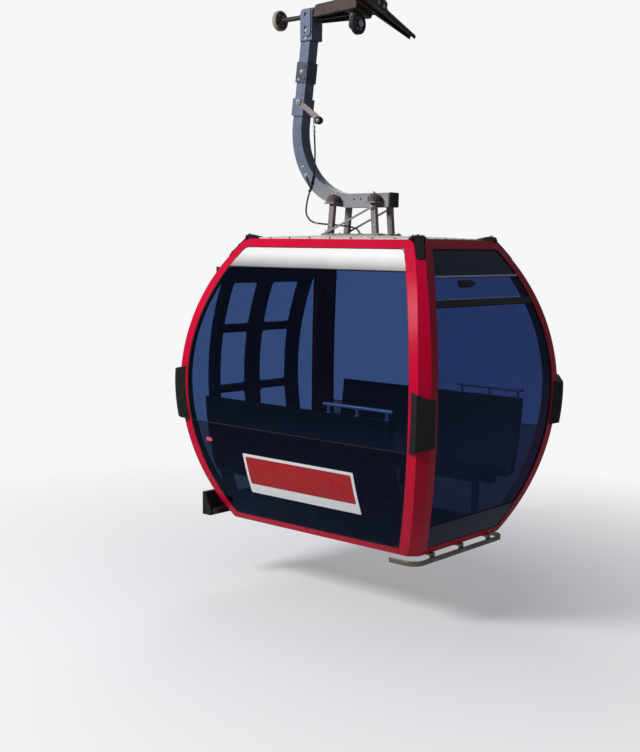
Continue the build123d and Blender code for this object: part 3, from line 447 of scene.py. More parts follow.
# Sign and sticker: printed film with a satin face that dirt greys in patches. Both are blank, and
# the sign is a plain red field on a white ground.
def film_patch(name, film, low, high, stand, rounding=0.008):
    """A thin rounded film on the rear end's lower pane, between two corners (across, height)."""
    kind, colour = film
    material = finish(kind, (colour, "#6f6a64"), (14, 8), (0.3, 0.8, 0, 0.12),
                      Roughness=0.4, Specular_IOR_Level=0.2)
    shape = bmesh.new()
    rises = [low[1] + rounding * share for share in (0, 0.15, 0.5, 1)]
    falls = [high[1] - rounding * share for share in (1, 0.5, 0.15, 0)]
    middles = [rises[-1] + (falls[0] - rises[-1]) * i / 8 for i in range(1, 8)]
    for rise in (stand, stand - 0.0012):
        grid = []
        for h in rises + middles + falls:
            short = max(rounding - (h - low[1]), rounding - (high[1] - h), 0)
            trim = rounding - sqrt(rounding**2 - short**2)
            grid.append([shape.verts.new(on_wall("end", -1, u, h, 0.004 - rise))
                         for u in (low[0] + trim, (low[0] + high[0]) / 2, high[0] - trim)])
        for row, above in zip(grid, grid[1:]):
            for i in range(2):
                shape.faces.new((row[i], row[i + 1], above[i + 1], above[i]))
    bmesh.ops.bridge_loops(shape, edges=[edge for edge in shape.edges if edge.is_boundary])
    make(name, shape, material)


film_patch("sign_ground", ("white_printed_film", "#dfe0e2"), (-0.55, 0.27), (0.53, 0.585),
           0.0008)
film_patch("sign_field", ("red_printed_film", "#a5121d"), (-0.525, 0.345), (0.505, 0.562),
           0.0014, rounding=0.014)
film_patch("reflex_sticker", ("pink_reflex_film", "#e0506c"), (0.845, 0.640), (0.911, 0.668),
           0.0008)


# Doorless side
# Black enamelled fascia, a vent window with a latch and a drawn aluminium profile along its
# upper edge, a bar, the big pane and a black lower panel.

# Enamel fired on the glass: black, painted navy as a painted reflection of blue sky, with a film
# that dulls its gloss a little.
black_glass = finish("black_enamelled_glass", ("#081433", "#0d1b42"), (3, 6),
                     dull=(0.4, 0.7, 0.05, 0.14), Specular_IOR_Level=0.2)
wear(black_glass, "side_fascias", "side_lower_panel")

# Black anodised profiles: satin, with faint clouds and bright rounded edges.
dark_metal = finish("dark_anodised_aluminium", ("#101216", "#1a1d22"), (9, 4),
                    dull=(0.35, 0.7, 0.34, 0.5), edge=0.0015, Metallic=0.2,
                    Specular_IOR_Level=0.3)
wear(dark_metal, "vent_bar", "door_frame", "door_leaf_front", "door_leaf_rear", "door_track",
     "door_foot_rail", "bench_frames")

# Drawn aluminium: lines along X, 3 mm apart so that they show. The braces and trims are clean,
# the guide rail is scuffed.
aluminium, scuffed = [
    finish(name, tones, (1, 3), dull=(0, 1, 0.28, 0.48), stretch=(6, 300, 300), edge=0.002,
           Metallic=0.7)
    for name, tones in (("drawn_aluminium", ("#96989a", "#b4b6b8")),
                        ("scuffed_drawn_aluminium", ("#57524b", "#8a847b")))]
wear(aluminium, "suspension_braces")
wear(scuffed, "guide_rail", "guide_brackets")


def block(shape, size, place, edge=0.002, segments=2):
    """Adds a block with rounded edges, centred on a placing matrix."""
    made = bmesh.ops.create_cube(shape, size=1, matrix=place @ Matrix.Diagonal((*size, 1)))
    edges = list(dict.fromkeys(line for vert in made["verts"] for line in vert.link_edges))
    bmesh.ops.bevel(shape, geom=edges, offset=edge, segments=segments, profile=0.5,
                    affect="EDGES")


def seat_on(spot, outward, along):
    """A placing matrix with Z outward, X along and its origin at a spot."""
    z, x = Vector(outward).normalized(), Vector(along)
    x = (x - x.dot(z) * z).normalized()
    return Matrix.Translation(spot) @ Matrix((x, z.cross(x), z)).transposed().to_4x4()


profile_height = 1.952
half = opening_half("side", profile_height) - 0.008
points = [(share * half, profile_height) for share in (-1, -0.5, 0, 0.5, 1)]
shape = bmesh.new()
sweep(shape, wall_line("side", -1, points, 0.004),
      mirrored((0.007, -0.008), (0.007, 0), (0.004, 0.0022)))
make("vent_profile", shape, aluminium)

# Moulded polyurethane: matt black with a leather grain of about 2 mm and rounded edges.
black_plastic = finish("moulded_black_polyurethane", ("#0c0d10", "#17181b"), (11, 5),
                       relief=("TexVoronoi", 450, 0, 0.0003), edge=0.004, Roughness=0.55,
                       Specular_IOR_Level=0.3)
wear(black_plastic, "corner_bumpers", "corner_fittings", "door_guides")

# The latch is a moulded handle with an arrow-shaped end, screwed to the vent pane.
latch_height, latch_x, latch_depth = 1.898, -0.16, 0.018
latch_outline = ((-0.105, -0.018), (-0.095, -0.024), (0.045, -0.024), (0.105, 0.0),
                 (0.045, 0.024), (-0.095, 0.024), (-0.105, 0.018))
shape = bmesh.new()
place = seat_on(on_wall("side", -1, latch_x, latch_height, 0.0102),
                facing("side", -1, latch_height), (1, 0, 0))
levels = ((0, 1), (0.75 * latch_depth, 1), (latch_depth, 0.93))     # height, growth
skin(shape, [[shape.verts.new(place @ Vector((u * growth, v * growth, rise)))
              for u, v in latch_outline] for rise, growth in levels])
block(shape, (0.07, 0.014, 0.014), place @ Matrix.Translation((-0.03, 0, latch_depth)), 0.004)
make("vent_latch", shape, black_plastic)


# Door side
# Two sliding leaves of dark anodised profiles with three panes each, sealed by rubber. A finger
# guard closes the middle, and a pull handle stands on each leaf.
leaf_low, leaf_high = 0.078, 1.925
leaf_width, leaf_gap, stile = 0.487, 0.003, 0.074
leaf_windows = ((0.151, 0.940), (1.000, 1.440), (1.500, 1.852))
leaf_face = -0.036
handle_low, handle_high, handle_stand = 0.955, 1.235, 0.012
bead_section = ((-0.0005, -0.012), (0.005, -0.012), (0.005, -0.001), (0.001, 0.0015),
                (-0.0005, 0.0015))
guard_section = mirrored((0.0027, -0.026), (0.0027, 0.001), (0, 0.003))

for end, side in (("front", 1), ("rear", -1)):
    middle = side * (leaf_gap + leaf_width / 2)
    shape = bmesh.new()
    for low, high in leaf_windows:
        points = window_outline(low, high, lambda h: leaf_width / 2 - stile, steps=8)
        stops = wall_line("side", 1, [(middle + u, h) for u, h in points], leaf_face)
        sweep(shape, stops, bead_section, closed=True)
    heights = [leaf_low + 0.004 + i * (leaf_high - leaf_low - 0.008) / 18 for i in range(19)]
    stops = wall_line("side", 1, [(side * (leaf_gap + 0.0005), h) for h in heights], leaf_face)
    sweep(shape, stops, guard_section)
    make(f"door_seals_{end}", shape, rubber, body=f"door_{end}")

    shape = bmesh.new()
    x = side * (leaf_gap + stile / 2)
    stops = []
    for i in range(17):
        share = i / 16
        h = handle_low + share * (handle_high - handle_low)
        stand = handle_stand * min(1, 6 * share, 6 * (1 - share)) ** 0.5
        stops.append((on_wall("side", 1, x, h, leaf_face - stand), facing("side", 1, h)))
    sweep(shape, stops, [(0.010 * cos(a * pi / 5), 0.005 * sin(a * pi / 5)) for a in range(10)])
    for h in (handle_low, handle_high):
        block(shape, (0.030, 0.040, 0.006), seat_on(on_wall("side", 1, x, h, leaf_face - 0.003),
                                                    facing("side", 1, h), (1, 0, 0)))
    make(f"door_handle_{end}", shape, black_plastic, body=f"door_{end}")


# Door tracks
# Extruded tracks over and under the leaves, and moulded blocks that hold an open leaf's foot in.
# Zinc-plated screws fix them: one tree sets a head with its washer on every point.
def new_tree(name, **inputs):
    """A geometry tree and its given inputs, each of a kind, some with a usual value."""
    tree = bpy.data.node_groups.new(name, "GeometryNodeTree")
    for title, (kind, *usual) in {"Geometry": ("Geometry",), **inputs,
                                  "Material": ("Material",)}.items():
        socket = tree.interface.new_socket(title.replace("_", " "), in_out="INPUT",
                                           socket_type="NodeSocket" + kind)
        if usual:
            socket.default_value = usual[0]
    tree.interface.new_socket("Geometry", in_out="OUTPUT", socket_type="NodeSocketGeometry")
    return tree, add(tree, "NodeGroupInput").outputs


def end_tree(tree, given, geometry):
    """Ends a tree: what it has placed becomes one mesh and gets the given material."""
    real = add(tree, "GeometryNodeRealizeInstances", {"Geometry": geometry})
    covered = add(tree, "GeometryNodeSetMaterial", {"Geometry": real,
                                                    "Material": given["Material"]})
    add(tree, "NodeGroupOutput", {"Geometry": covered})


fasteners, given = new_tree("fasteners", Sides=("Int", 6), Head_Height=("Float", 0.7),
                            Top=("Float", 0.9), Washer=("Float", 1.5))
head = add(fasteners, "GeometryNodeMeshCone", {
    "Vertices": given["Sides"], "Radius Top": given["Top"], "Radius Bottom": 1.0,
    "Depth": given["Head Height"]})
lifted = add(fasteners, "GeometryNodeTransform", {"Geometry": head, "Translation": (0, 0, 0.15)})
washer = add(fasteners, "GeometryNodeMeshCone", {
    "Vertices": 20, "Radius Top": given["Washer"], "Radius Bottom": given["Washer"],
    "Depth": 0.15})
joined = add(fasteners, "GeometryNodeJoinGeometry", {"Geometry": [lifted, washer]})
way = add(fasteners, "GeometryNodeInputNamedAttribute", {"Name": "facing"},
          data_type="FLOAT_VECTOR")
size = add(fasteners, "GeometryNodeInputNamedAttribute", {"Name": "size"}, data_type="FLOAT")
turned_to = add(fasteners, "FunctionNodeAlignRotationToVector", {"Vector": way}, axis="Z")
end_tree(fasteners, given, add(fasteners, "GeometryNodeInstanceOnPoints", {
    "Points": given["Geometry"], "Instance": joined, "Rotation": turned_to, "Scale": size}))


def grown(name, mesh, tree, slot, body="carrier", **inputs):
    """Runs a node tree on a mesh and makes the result one piece. Inputs go by their names."""
    holder = put(name + "_base", mesh)
    modifier = holder.modifiers.new(tree.name, "NODES")
    modifier.node_group = tree
    sockets = {item.name: item.identifier for item in tree.interface.items_tree
               if item.in_out == "INPUT"}
    for key, value in inputs.items():
        modifier[sockets[key.replace("_", " ")]] = value
    graph = bpy.context.evaluated_depsgraph_get()
    result = bpy.data.meshes.new_from_object(holder.evaluated_get(graph))
    bpy.data.objects.remove(holder)
    bpy.data.meshes.remove(mesh)
    result.name = name
    piece(name, result, body)


def fasten(name, spots, material, body="carrier", slot="galvanised", **shape_of_head):
    """Sets heads on spots of (place, outward, radius) and makes them one piece."""
    points = bpy.data.meshes.new(name + "_points")
    points.from_pydata([spot for spot, outward, radius in spots], [], [])
    points.attributes.new("facing", "FLOAT_VECTOR", "POINT")
    points.attributes.new("size", "FLOAT", "POINT")
    ways, sizes = points.attributes["facing"], points.attributes["size"]
    for index, (spot, outward, radius) in enumerate(spots):
        ways.data[index].vector = outward
        sizes.data[index].value = radius
    grown(name, points, fasteners, slot, body, Material=material, **shape_of_head)


# Zinc plating: bright blue-grey that clouds to a duller film.
zinc = finish("zinc_plated_steel", ("#8d8f92", "#c3c4c6"), (60, 5), dull=(0, 1, 0.22, 0.5),
              Metallic=0.9)

side_way, up_way, end_way = Vector((0, 1, 0)), Vector((0, 0, 1)), Vector((1, 0, 0))
track_low, track_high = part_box("door_track")
foot_low, foot_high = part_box("door_foot_rail")
guide_low, guide_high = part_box("door_guides")
track_margin, guide_bolt_inset, guide_bolt_backs = 0.040, 0.030, (0.030, 0.200)
end_bolt_back, end_bolt_rise = 0.022, 0.035
spots = []
for low, high, count in ((track_low, track_high, 7), (foot_low, foot_high, 9)):
    for i in range(count):
        x = low.x + track_margin + i * (high.x - low.x - 2 * track_margin) / (count - 1)
        spots.append(((x, high.y, (low.z + high.z) / 2), side_way, 0.006))
fasten("track_screws", spots, zinc, Sides=16, Top=0.75, Washer=1.3)

spots = []
for side in (1, -1):
    for back in guide_bolt_backs:
        for z in (guide_low.z + guide_bolt_inset, guide_high.z - guide_bolt_inset):
            spots.append(((side * (guide_high.x - back), guide_high.y, z), side_way, 0.009))
    spots.append(((side * guide_high.x, guide_high.y - end_bolt_back, guide_low.z + end_bolt_rise),
                  side * end_way, 0.009))
fasten("guide_block_bolts", spots, dark_metal, slot="dark_metal")

# A moulded cap with rounded edges closes each end of the upper track.
cap_lap, cap_shift, cap_width, cap_thickness = 0.002, 0.012, 0.042, 0.006
shape = bmesh.new()
for side in (1, -1):
    x = side * (track_high.x + cap_lap)
    middle = (x, (track_low.y + track_high.y) / 2 + cap_shift, (track_low.z + track_high.z) / 2)
    block(shape, (track_high.z - track_low.z + 2 * cap_lap, cap_width, cap_thickness),
          seat_on(middle, side * end_way, up_way), 0.002)
make("track_end_caps", shape, black_plastic)


# Corner fittings and bumpers
# Moulded polyurethane: fittings close the notches where the roof moulding's corners meet, each
# with a cap screwed down on the roof, and bumpers take the knocks of the station's guides.
body_height = 2.200
fitting_stand, bumper_stand = 0.014, 0.0365      # the bumpers' screws are sunk
cap_screw_height, cap_screw_back = 0.0315, 0.035
fitting_screws = (2.155, 2.098)
bumper_screws = (0.885, 1.105)


def at_corner(x, y, height, stand):
    """A point over the middle of a corner's face, and the way that the face looks."""
    away = Vector((x, y, 0)).normalized()
    across = [reach(face, height) - corner_leg / 2 for face in ("end", "side")]
    nearby = [reach("end", height + step) + reach("side", height + step) for step in (-0.01, 0.01)]
    slope = (nearby[0] - nearby[1]) / 0.02 / sqrt(2)
    spot = Vector((x * across[0], y * across[1], base + height)) + stand * away
    return spot, (away + slope * up_way).normalized()


cap_spots, fitting_spots, bumper_spots = [], [], []
for x, y in ((1, 1), (1, -1), (-1, 1), (-1, -1)):
    top, outward = at_corner(x, y, body_height, fitting_stand - cap_screw_back)
    cap_spots.append((top + cap_screw_height * up_way, 8 * up_way + Vector((x, y, 0)), 0.011))
    for height in fitting_screws:
        fitting_spots.append((*at_corner(x, y, height, fitting_stand), 0.006))
    if y < 0:               # an open leaf passes close over the others, held from behind
        for height in bumper_screws:
            bumper_spots.append((*at_corner(x, y, height, bumper_stand), 0.010))
fasten("fitting_cap_bolts", cap_spots, zinc, Washer=1.4)
fasten("fitting_screws", fitting_spots, dark_metal, slot="dark_metal", Sides=16, Top=0.7,
       Washer=1.2)
fasten("bumper_screws", bumper_spots, dark_metal, slot="dark_metal", Sides=16, Top=0.6,
       Head_Height=0.5, Washer=1.5)


# Roof
# White gelcoat on a glass-fibre shell, crowned both ways so that rain runs off, and screwed
# down to the moulding along its rim.
roof_crown, roof_rim, screw_inset = 0.034, 0.004, 0.030
roof_edge = base + body_height
# Gelcoat gone chalky outdoors: grime lies in patches, and the mould's waves show.
gelcoat = finish("white_gelcoat", ("#bdbdb9", "#9d9a92"), (3.5, 8), (0.45, 0.8, 0, 0.45),
                 relief=("TexNoise", 14, 2, 0.0012), Roughness=0.65, Specular_IOR_Level=0.1)
wear(gelcoat, "roof")

roof_half = (reach("end", body_height), reach("side", body_height))


def roof_top(x, y):
    """Height of the crowned roof at a point in plan."""
    sag = max((x / roof_half[0]) ** 2, (y / roof_half[1]) ** 2)
    return roof_edge + roof_crown - (roof_crown - roof_rim) * sag


roof_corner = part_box("roof")[1]
rim_x, rim_y = roof_corner.x - screw_inset, roof_corner.y - screw_inset
spots = []
for step in range(-3, 4):
    for x, y in ((rim_x * step / 4, rim_y), (rim_x, rim_y * step / 4)):
        for side in (1, -1):
            spots.append(((side * x, side * y, roof_top(x, y)), up_way, 0.007))
fasten("roof_screws", spots, zinc, Sides=16, Top=0.6, Head_Height=0.5, Washer=1.6)


# Suspension
# Two feet on the roof carry four welded legs with braces. They hang from rubber buffers that
# stand on ears of the hanger's bar, so that the hanger's shocks don't reach the cabin.
leg_x, leg_middle, ear_spread, leg_splay = 0.097, 0.070, 0.200, 0.020
leg_half = (0.016, 0.023)
bar_half, ear_half, ear_thickness = 0.050, 0.047, 0.012
bead_radius, bead_step = 0.0035, 0.0035
ear_spots = [leg_middle + side * ear_spread for side in (1, -1)]
# Zinc from the bath: spangle of about 12 mm over grey, with duller runs. Its greys are painted
# dark and blue: painted shade with a painted reflection of blue sky. Grease and dust from above
# brown the small parts, and the collar and the roller discs are phosphated dark, the running
# roller's discs also as painted shade. Below a height every tone turns paler: painted light on
# the lower parts.
galvanised = blank(bpy.data.materials.new("hot_dip_galvanised_steel"))
weathered = blank(bpy.data.materials.new("rust_stained_galvanised_steel"))
phosphated = blank(bpy.data.materials.new("phosphated_steel"))
painted_light_low, painted_light_high = base + 2.50, base + 2.75
# Rows: material, two greys, a stain, and a paler tone that is mixed in below a height as painted
# light.
for owner, dark, bright, stain, dust in (
    (galvanised, "#3a4254", "#5f687b", "#4b4f5a", "#9b958f"),
    (weathered, "#5b5051", "#85797b", "#5f463f", "#7d7172"),
    (phosphated, "#262b33", "#434a56", "#3a3431", "#434a56"),
):
    place = add(owner, "TexCoord").outputs["Object"]
    crystals = add(owner, "TexVoronoi", {"Vector": place, "Scale": 80.0})
    runs = add(owner, "TexNoise", {"Vector": place, "Scale": 9.0, "Detail": 8.0})
    blend = add(owner, "Math", {0: crystals.outputs["Color"], 1: 0.45, 2: runs},
                operation="MULTIPLY_ADD")
    grey = add(owner, "Mix", {0: blend, 6: dark, 7: bright}, data_type="RGBA")
    stretched = add(owner, "Mapping", {"Vector": place, "Scale": (14.0, 14.0, 3.0)})
    streaks = add(owner, "TexNoise", {"Vector": stretched, "Scale": 1.0, "Detail": 6.0})
    stained = add(owner, "MapRange", {"Value": streaks, "From Min": 0.52, "From Max": 0.75,
                                      "To Max": 0.6})
    rusty = add(owner, "Mix", {0: stained, 6: grey, 7: stain}, data_type="RGBA")
    height = add(owner, "SeparateXYZ", {"Vector": place}).outputs["Z"]
    # Painted light: below a height the tone is mixed towards the paler one.
    painted_light_below = add(owner, "MapRange", {"Value": height, "From Min": painted_light_high,
                                      "From Max": painted_light_low, "To Max": 0.55})
    tone = add(owner, "Mix", {0: painted_light_below, 6: rusty, 7: dust}, data_type="RGBA")
    dull = add(owner, "MapRange", {"Value": runs, "To Min": 0.46, "To Max": 0.68})
    drops = add(owner, "TexNoise", {"Vector": place, "Scale": 130.0, "Detail": 4.0})
    softened = add(owner, "Bevel", {"Radius": 0.004}, samples=4)
    uneven = add(owner, "Bump", {"Height": drops, "Distance": 0.0005, "Normal": softened})
    shader = add(owner, "BsdfPrincipled", {"Base Color": tone, "Metallic": 0.3,
                                           "Roughness": dull, "Normal": uneven})
    add(owner, "OutputMaterial", {"Surface": shader})
wear(galvanised, "hanger_head", "head_plate", "hanger_frame", "lever_clamp")
wear(weathered, "bar_ears", "suspension_legs", "roof_feet", "door_lever")
wear(phosphated, "hanger_collar")

# Buffers: cast natural rubber, brown-black with a dry skin.
buffer_rubber = finish("weathered_natural_rubber", ("#352b2c", "#665455"), (45, 6),
                       relief=("TexVoronoi", 260, 0, 0.0004), Roughness=0.65)
wear(buffer_rubber, "rubber_buffers")


def turned(shape, place, profile, sides=32, looped=False):
    """Adds a form turned about a matrix's Z from (radius, rise). A looped profile is a ring."""
    rings = []
    for radius, rise in profile:
        angles = [2 * pi * i / sides for i in range(sides if radius else 1)]
        rings.append([shape.verts.new(place @ Vector((radius * cos(a), radius * sin(a), rise)))
                      for a in angles])
    skin(shape, rings, looped)


# Weld beads: a ripple runs along each path, as a stick weld leaves it.
beads, given = new_tree("weld_beads", Radius=("Float",), Step=("Float",))
line = add(beads, "GeometryNodeMeshToCurve", {"Mesh": given["Geometry"]})
stepped = add(beads, "GeometryNodeResampleCurve", {"Curve": line, "Length": given["Step"]},
              mode="LENGTH")
odd = add(beads, "Math", {0: add(beads, "GeometryNodeInputIndex"), 1: 2.0}, operation="MODULO")
ripple = add(beads, "Math", {0: odd, 1: 0.2, 2: 0.85}, operation="MULTIPLY_ADD")
ring = add(beads, "GeometryNodeCurvePrimitiveCircle", {"Resolution": 8,
                                                       "Radius": given["Radius"]})
end_tree(beads, given, add(beads, "GeometryNodeCurveToMesh", {
    "Curve": stepped, "Profile Curve": ring, "Scale": ripple, "Fill Caps": True}))


def weld(name, paths, material, body="carrier", slot="galvanised"):
    """Lays beads along paths of (points, closed) and makes them one piece."""
    points, edges = [], []
    for path, closed in paths:
        first = len(points)
        points += path
        edges += [(first + i, first + i + 1) for i in range(len(path) - 1)]
        if closed:
            edges.append((len(points) - 1, first))
    mesh = bpy.data.meshes.new(name + "_paths")
    mesh.from_pydata(points, edges, [])
    grown(name, mesh, beads, slot, body, Radius=bead_radius, Step=bead_step, Material=material)


foot_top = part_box("roof_feet")[1].z
ear_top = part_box("bar_ears")[1].z
buffer_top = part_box("rubber_buffers")[1].z
paths = []
for side in (1, -1):
    for way, y in zip((1, -1), ear_spots):
        foot = Vector((side * leg_x, y + way * leg_splay, foot_top))
        paths.append(([foot + Vector((u * leg_half[0], v * leg_half[1], 0))
                       for u, v in ((1, 1), (-1, 1), (-1, -1), (1, -1))], True))
        for z in (ear_top, ear_top - ear_thickness):
            paths.append(([(side * bar_half, y + v * ear_half, z) for v in (-1, 0, 1)], False))
weld("suspension_welds", paths, weathered)

brace_low, brace_high = (0.306, 0.012), (-0.130, -0.040)    # across, above foot or ear
foot_bolts = (-0.265, -0.10, 0.10, 0.265)
leg_face, foot_bolt_x, leg_bolt_rise = leg_x + leg_half[0], leg_x + 0.030, 0.060
cap_depth, eye_depth = 0.007, 0.018
shape = bmesh.new()
spots = []
for side in (1, -1):
    for way, y in zip((1, -1), ear_spots):
        cap = Matrix.Translation((side * leg_x, y, buffer_top))
        turned(shape, cap, ((0.024, 0.0), (0.024, 0.003), (0.015, cap_depth), (0.0, cap_depth)))
        spots.append(((side * leg_x, y, buffer_top + cap_depth), up_way, 0.010))
        spots.append(((side * leg_face, y + way * leg_splay, foot_top + leg_bolt_rise),
                      side * end_way, 0.008))
    for y, z in ((brace_low[0], foot_top + brace_low[1]), (brace_high[0], ear_top + brace_high[1])):
        turned(shape, seat_on((side * leg_face, y, z), side * end_way, up_way),
               ((0.017, 0.0), (0.017, 0.016), (0.015, eye_depth), (0.0, eye_depth)))
        spots.append(((side * (leg_face + eye_depth), y, z), side * end_way, 0.009))
    for y in foot_bolts:
        spots.append(((side * foot_bolt_x, leg_middle + y, foot_top), up_way, 0.009))
make("buffer_caps_and_brace_eyes", shape, zinc)
fasten("suspension_bolts", spots, zinc)


# Hanger
# A welded and galvanised box that comes down beside the grip and turns in under it. A plate and
# a head hold its pin, a clamped collar its upper joint, and a moulded cap closes the bar's end.
bar_end, bar_low, bar_high = -0.250, base + 2.443, base + 2.549
cap_skirt, cap_proud, cap_recess = 0.028, 0.0025, 0.003
lean = radians(7)
upright_y, upright_top, upright_half = 0.617, -0.195, 0.047
head_x, head_y = 0.062, 0.600

shape = bmesh.new()
size = (2 * (bar_half + cap_proud), bar_high - bar_low + 2 * cap_proud, cap_skirt)
outer = (0, bar_end - 2 * cap_proud + cap_skirt / 2, (bar_low + bar_high) / 2)
block(shape, size, seat_on(outer, -side_way, end_way), 0.010, 3)
shape.normal_update()
front = max(shape.faces, key=lambda face: -face.normal.y * face.calc_area())
bmesh.ops.inset_region(shape, faces=[front], thickness=0.012)
bmesh.ops.translate(shape, verts=front.verts, vec=(0, cap_recess, 0))
# Blender leaves these faces in no fixed order from run to run, so they are sorted by place.
shape.faces.sort(key=lambda face: face.calc_center_median().dot((1, 2, 4)))
make("bar_end_cap", shape, black_plastic)


def on_upright(x, outward, z):
    """A point beside the upright's middle at a height: outward is along its lean."""
    return Vector((x, upright_y + (upright_top - z) * tan(lean) + outward / cos(lean), z))


corners = ((bar_half, upright_half), (-bar_half, upright_half),
           (-bar_half, -upright_half), (bar_half, -upright_half))
weld("hanger_welds", [([on_upright(x, out, upright_top - 0.002) for x, out in corners], True)],
     galvanised)

drain_holes = ((0.099, 2.505), (0.035, 2.504), (-0.165, 2.501))     # across, height
plugs = [((side * bar_half, y, base + z), side * end_way, 0.006)
         for side in (1, -1) for y, z in drain_holes]
fasten("bar_drain_plugs", plugs, rubber, slot="rubber", Sides=16, Head_Height=0.2, Top=0.8,
       Washer=1.3)

bend_bolts = ((0.633, 2.764), (0.597, 2.700))               # across, height
collar_bolts = ((0, 3.504, 0.011), (0.026, 3.445, 0.007))   # outward, height, radius
head_bolts, clamp_bolts = (-0.120, -0.178), (3.205, 3.262)  # heights
collar_face, clamp_x, clamp_face = 0.059, 0.036, 0.060
spots = [((-bar_half, y, base + z), -end_way, 0.010) for y, z in bend_bolts]
for side in (1, -1):
    for outward, z, radius in collar_bolts:
        spots.append((on_upright(side * collar_face, outward, base + z), side * end_way, radius))
    for z in head_bolts:
        spots.append(((side * head_x, head_y, z), side * end_way, 0.010))
for z in clamp_bolts:
    for x in (-clamp_x, clamp_x):
        spots.append((on_upright(x, clamp_face, base + z), (0, cos(lean), sin(lean)), 0.009))
fasten("hanger_bolts", spots, zinc)

# A moulded guard runs from the bend's bolts down to the cable's first clip.
shape = bmesh.new()
guard_line = ((0.588, 2.686), (0.572, 2.655), (0.556, 2.622), (0.541, 2.592))
sweep(shape, [((-bar_half, y, base + z), -end_way) for y, z in guard_line],
      mirrored((0.009, -0.002), (0.009, 0.003), (0.005, 0.006)))
make("cable_guard", shape, black_plastic)

# The collar is a pair of shells: their joint shows as flanges drawn together by the bolts.
lug_size, lug_heights, lug_outward = (0.030, 0.022, 0.010), (3.450, 3.548), -0.030
shape = bmesh.new()
for z in lug_heights:
    for side in (1, -1):
        spot = on_upright(side * collar_face, lug_outward, base + z)
        block(shape, lug_size, seat_on(spot, side * end_way, up_way), 0.002)
make("collar_lugs", shape, phosphated)


# Door lever and its cable
# The station's rail presses the lever's roller down, and the cable under its arm opens the
# doors. The cable is a steel core in a rubber-covered sheath, clipped to the hanger.
lever_pivot, lever_tip = (0.655, -0.660), (0.432, -0.818)
arm_face, roller_face, roller_width = -0.0763, -0.1103, 0.034
cable_x = -0.0605
cable_top, cable_next = (0.508, 3.078), (0.498, 2.960)      # across, height above the edge
clip_spots = ((0.521, 2.643), (0.541, 2.580))
ferrule_place, ferrule_way, ferrule_length = (0.475, 2.329), Vector((0, -0.110, -0.018)), 0.030
hub_depth, gland_nut_drop = 0.016, 0.013


def along(spot, way):
    """A placing matrix with Z along a way and its origin at a spot."""
    return seat_on(spot, way, end_way if abs(way.normalized().x) < 0.9 else up_way)


shape = bmesh.new()
turned(shape, along((arm_face, *lever_pivot), -end_way),
       ((0.024, 0.0), (0.024, 0.009), (0.021, 0.012), (0.015, 0.012), (0.015, hub_depth),
        (0.0, hub_depth)))
cable_start = Vector((cable_x, cable_top[0], base + cable_top[1]))
cable_way = Vector((0, cable_next[0] - cable_top[0], cable_next[1] - cable_top[1]))
turned(shape, along(cable_start, cable_way),
       ((0.0105, 0.0), (0.0105, 0.016), (0.0085, 0.018), (0.0085, 0.038), (0.0105, 0.040),
        (0.0105, 0.054), (0.0075, 0.058), (0.0075, 0.066)), 24)
link_low = cable_start + Vector((0, 0, -0.002))
link_high = Vector((cable_x - 0.009, cable_top[0] - 0.004, -0.772))
turned(shape, along(link_low, link_high - link_low),
       ((0.004, 0.0), (0.004, 0.020), (0.007, 0.022), (0.007, 0.030), (0.004, 0.032),
        (0.004, (link_high - link_low).length)), 16)
ferrule_middle = Vector((cable_x, ferrule_place[0], base + ferrule_place[1]))
ferrule = ferrule_middle - 0.5 * ferrule_length * ferrule_way
turned(shape, along(ferrule, ferrule_way),
       ((0.0075, 0.0), (0.0095, 0.003), (0.0095, 0.012), (0.0085, 0.013), (0.0085, 0.017),
        (0.0095, 0.018), (0.0095, 0.027), (0.0075, ferrule_length)), 24)
gland_low, gland_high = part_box("cable_gland")
gland_middle = (gland_low + gland_high) / 2
gland_place = Matrix.Translation((gland_middle.x, gland_middle.y, gland_high.z - gland_nut_drop))
turned(shape, gland_place, ((0.021, 0.0), (0.021, 0.008), (0.019, 0.010)), 6)
make("lever_hub_and_cable_ends", shape, zinc, sharp=30)

spots = [((arm_face - hub_depth, *lever_pivot), -end_way, 0.009),
         ((roller_face, *lever_tip), -end_way, 0.009)]
shape = bmesh.new()
for y, z in clip_spots:
    place = seat_on((cable_x, y, base + z), -end_way, up_way)
    block(shape, (0.016, 0.019, 0.021), place, 0.003)
    block(shape, (0.016, 0.020, 0.003), place @ Matrix.Translation((0, 0.018, -0.009)), 0.001)
    spots.append((place @ Vector((0, 0.020, -0.0075)), -end_way, 0.005))
make("cable_clips", shape, black_plastic)
fasten("lever_and_clip_screws", spots, zinc)

# The lever's roller has a tyre that laps over both of its faces.
tyre_lap, ring_sides = 0.0015, 48
roller_middle = (roller_face + roller_width / 2, *lever_tip)
half = roller_width / 2 + tyre_lap
shape = bmesh.new()
turned(shape, along(roller_middle, end_way),
       ((0.013, -half), (0.027, -half), (0.0305, 0.004 - half), (0.0305, half - 0.004),
        (0.027, half), (0.013, half)), ring_sides, looped=True)
make("lever_roller_tyre", shape, rubber)


# Grip
# Forged and cast steel, rusted brown between coats of grease: a body with the fixed jaw, the
# clamping jaw with its lever on the pivot pin, and tongues that stand out from both ends.
grip_slope = radians(17)
# Cast steel: grey, with dull brown rust in patches over the sand mould's grain, which is drawn
# 3 mm coarse so that it shows.
cast_steel = finish("weathered_cast_steel", ("#2f2b2a", "#523c33"), (22, 8), (0.42, 0.66, 0, 1),
                    dull=(0.42, 0.66, 0.45, 0.85), relief=("TexNoise", 350, 4, 0.001),
                    edge=0.004, Metallic=0.35)
wear(cast_steel, "grip_body", "clamping_jaw")
# Satin black paint, which looks as the anodised profiles do.
wear(dark_metal, "rope_tongues", "jaw_springs")


def tilted(x, y, z):
    """A point or way of the grip, which is drawn level and lies at its slope."""
    return Vector((x * cos(grip_slope) + z * sin(grip_slope), y,
                   z * cos(grip_slope) - x * sin(grip_slope)))


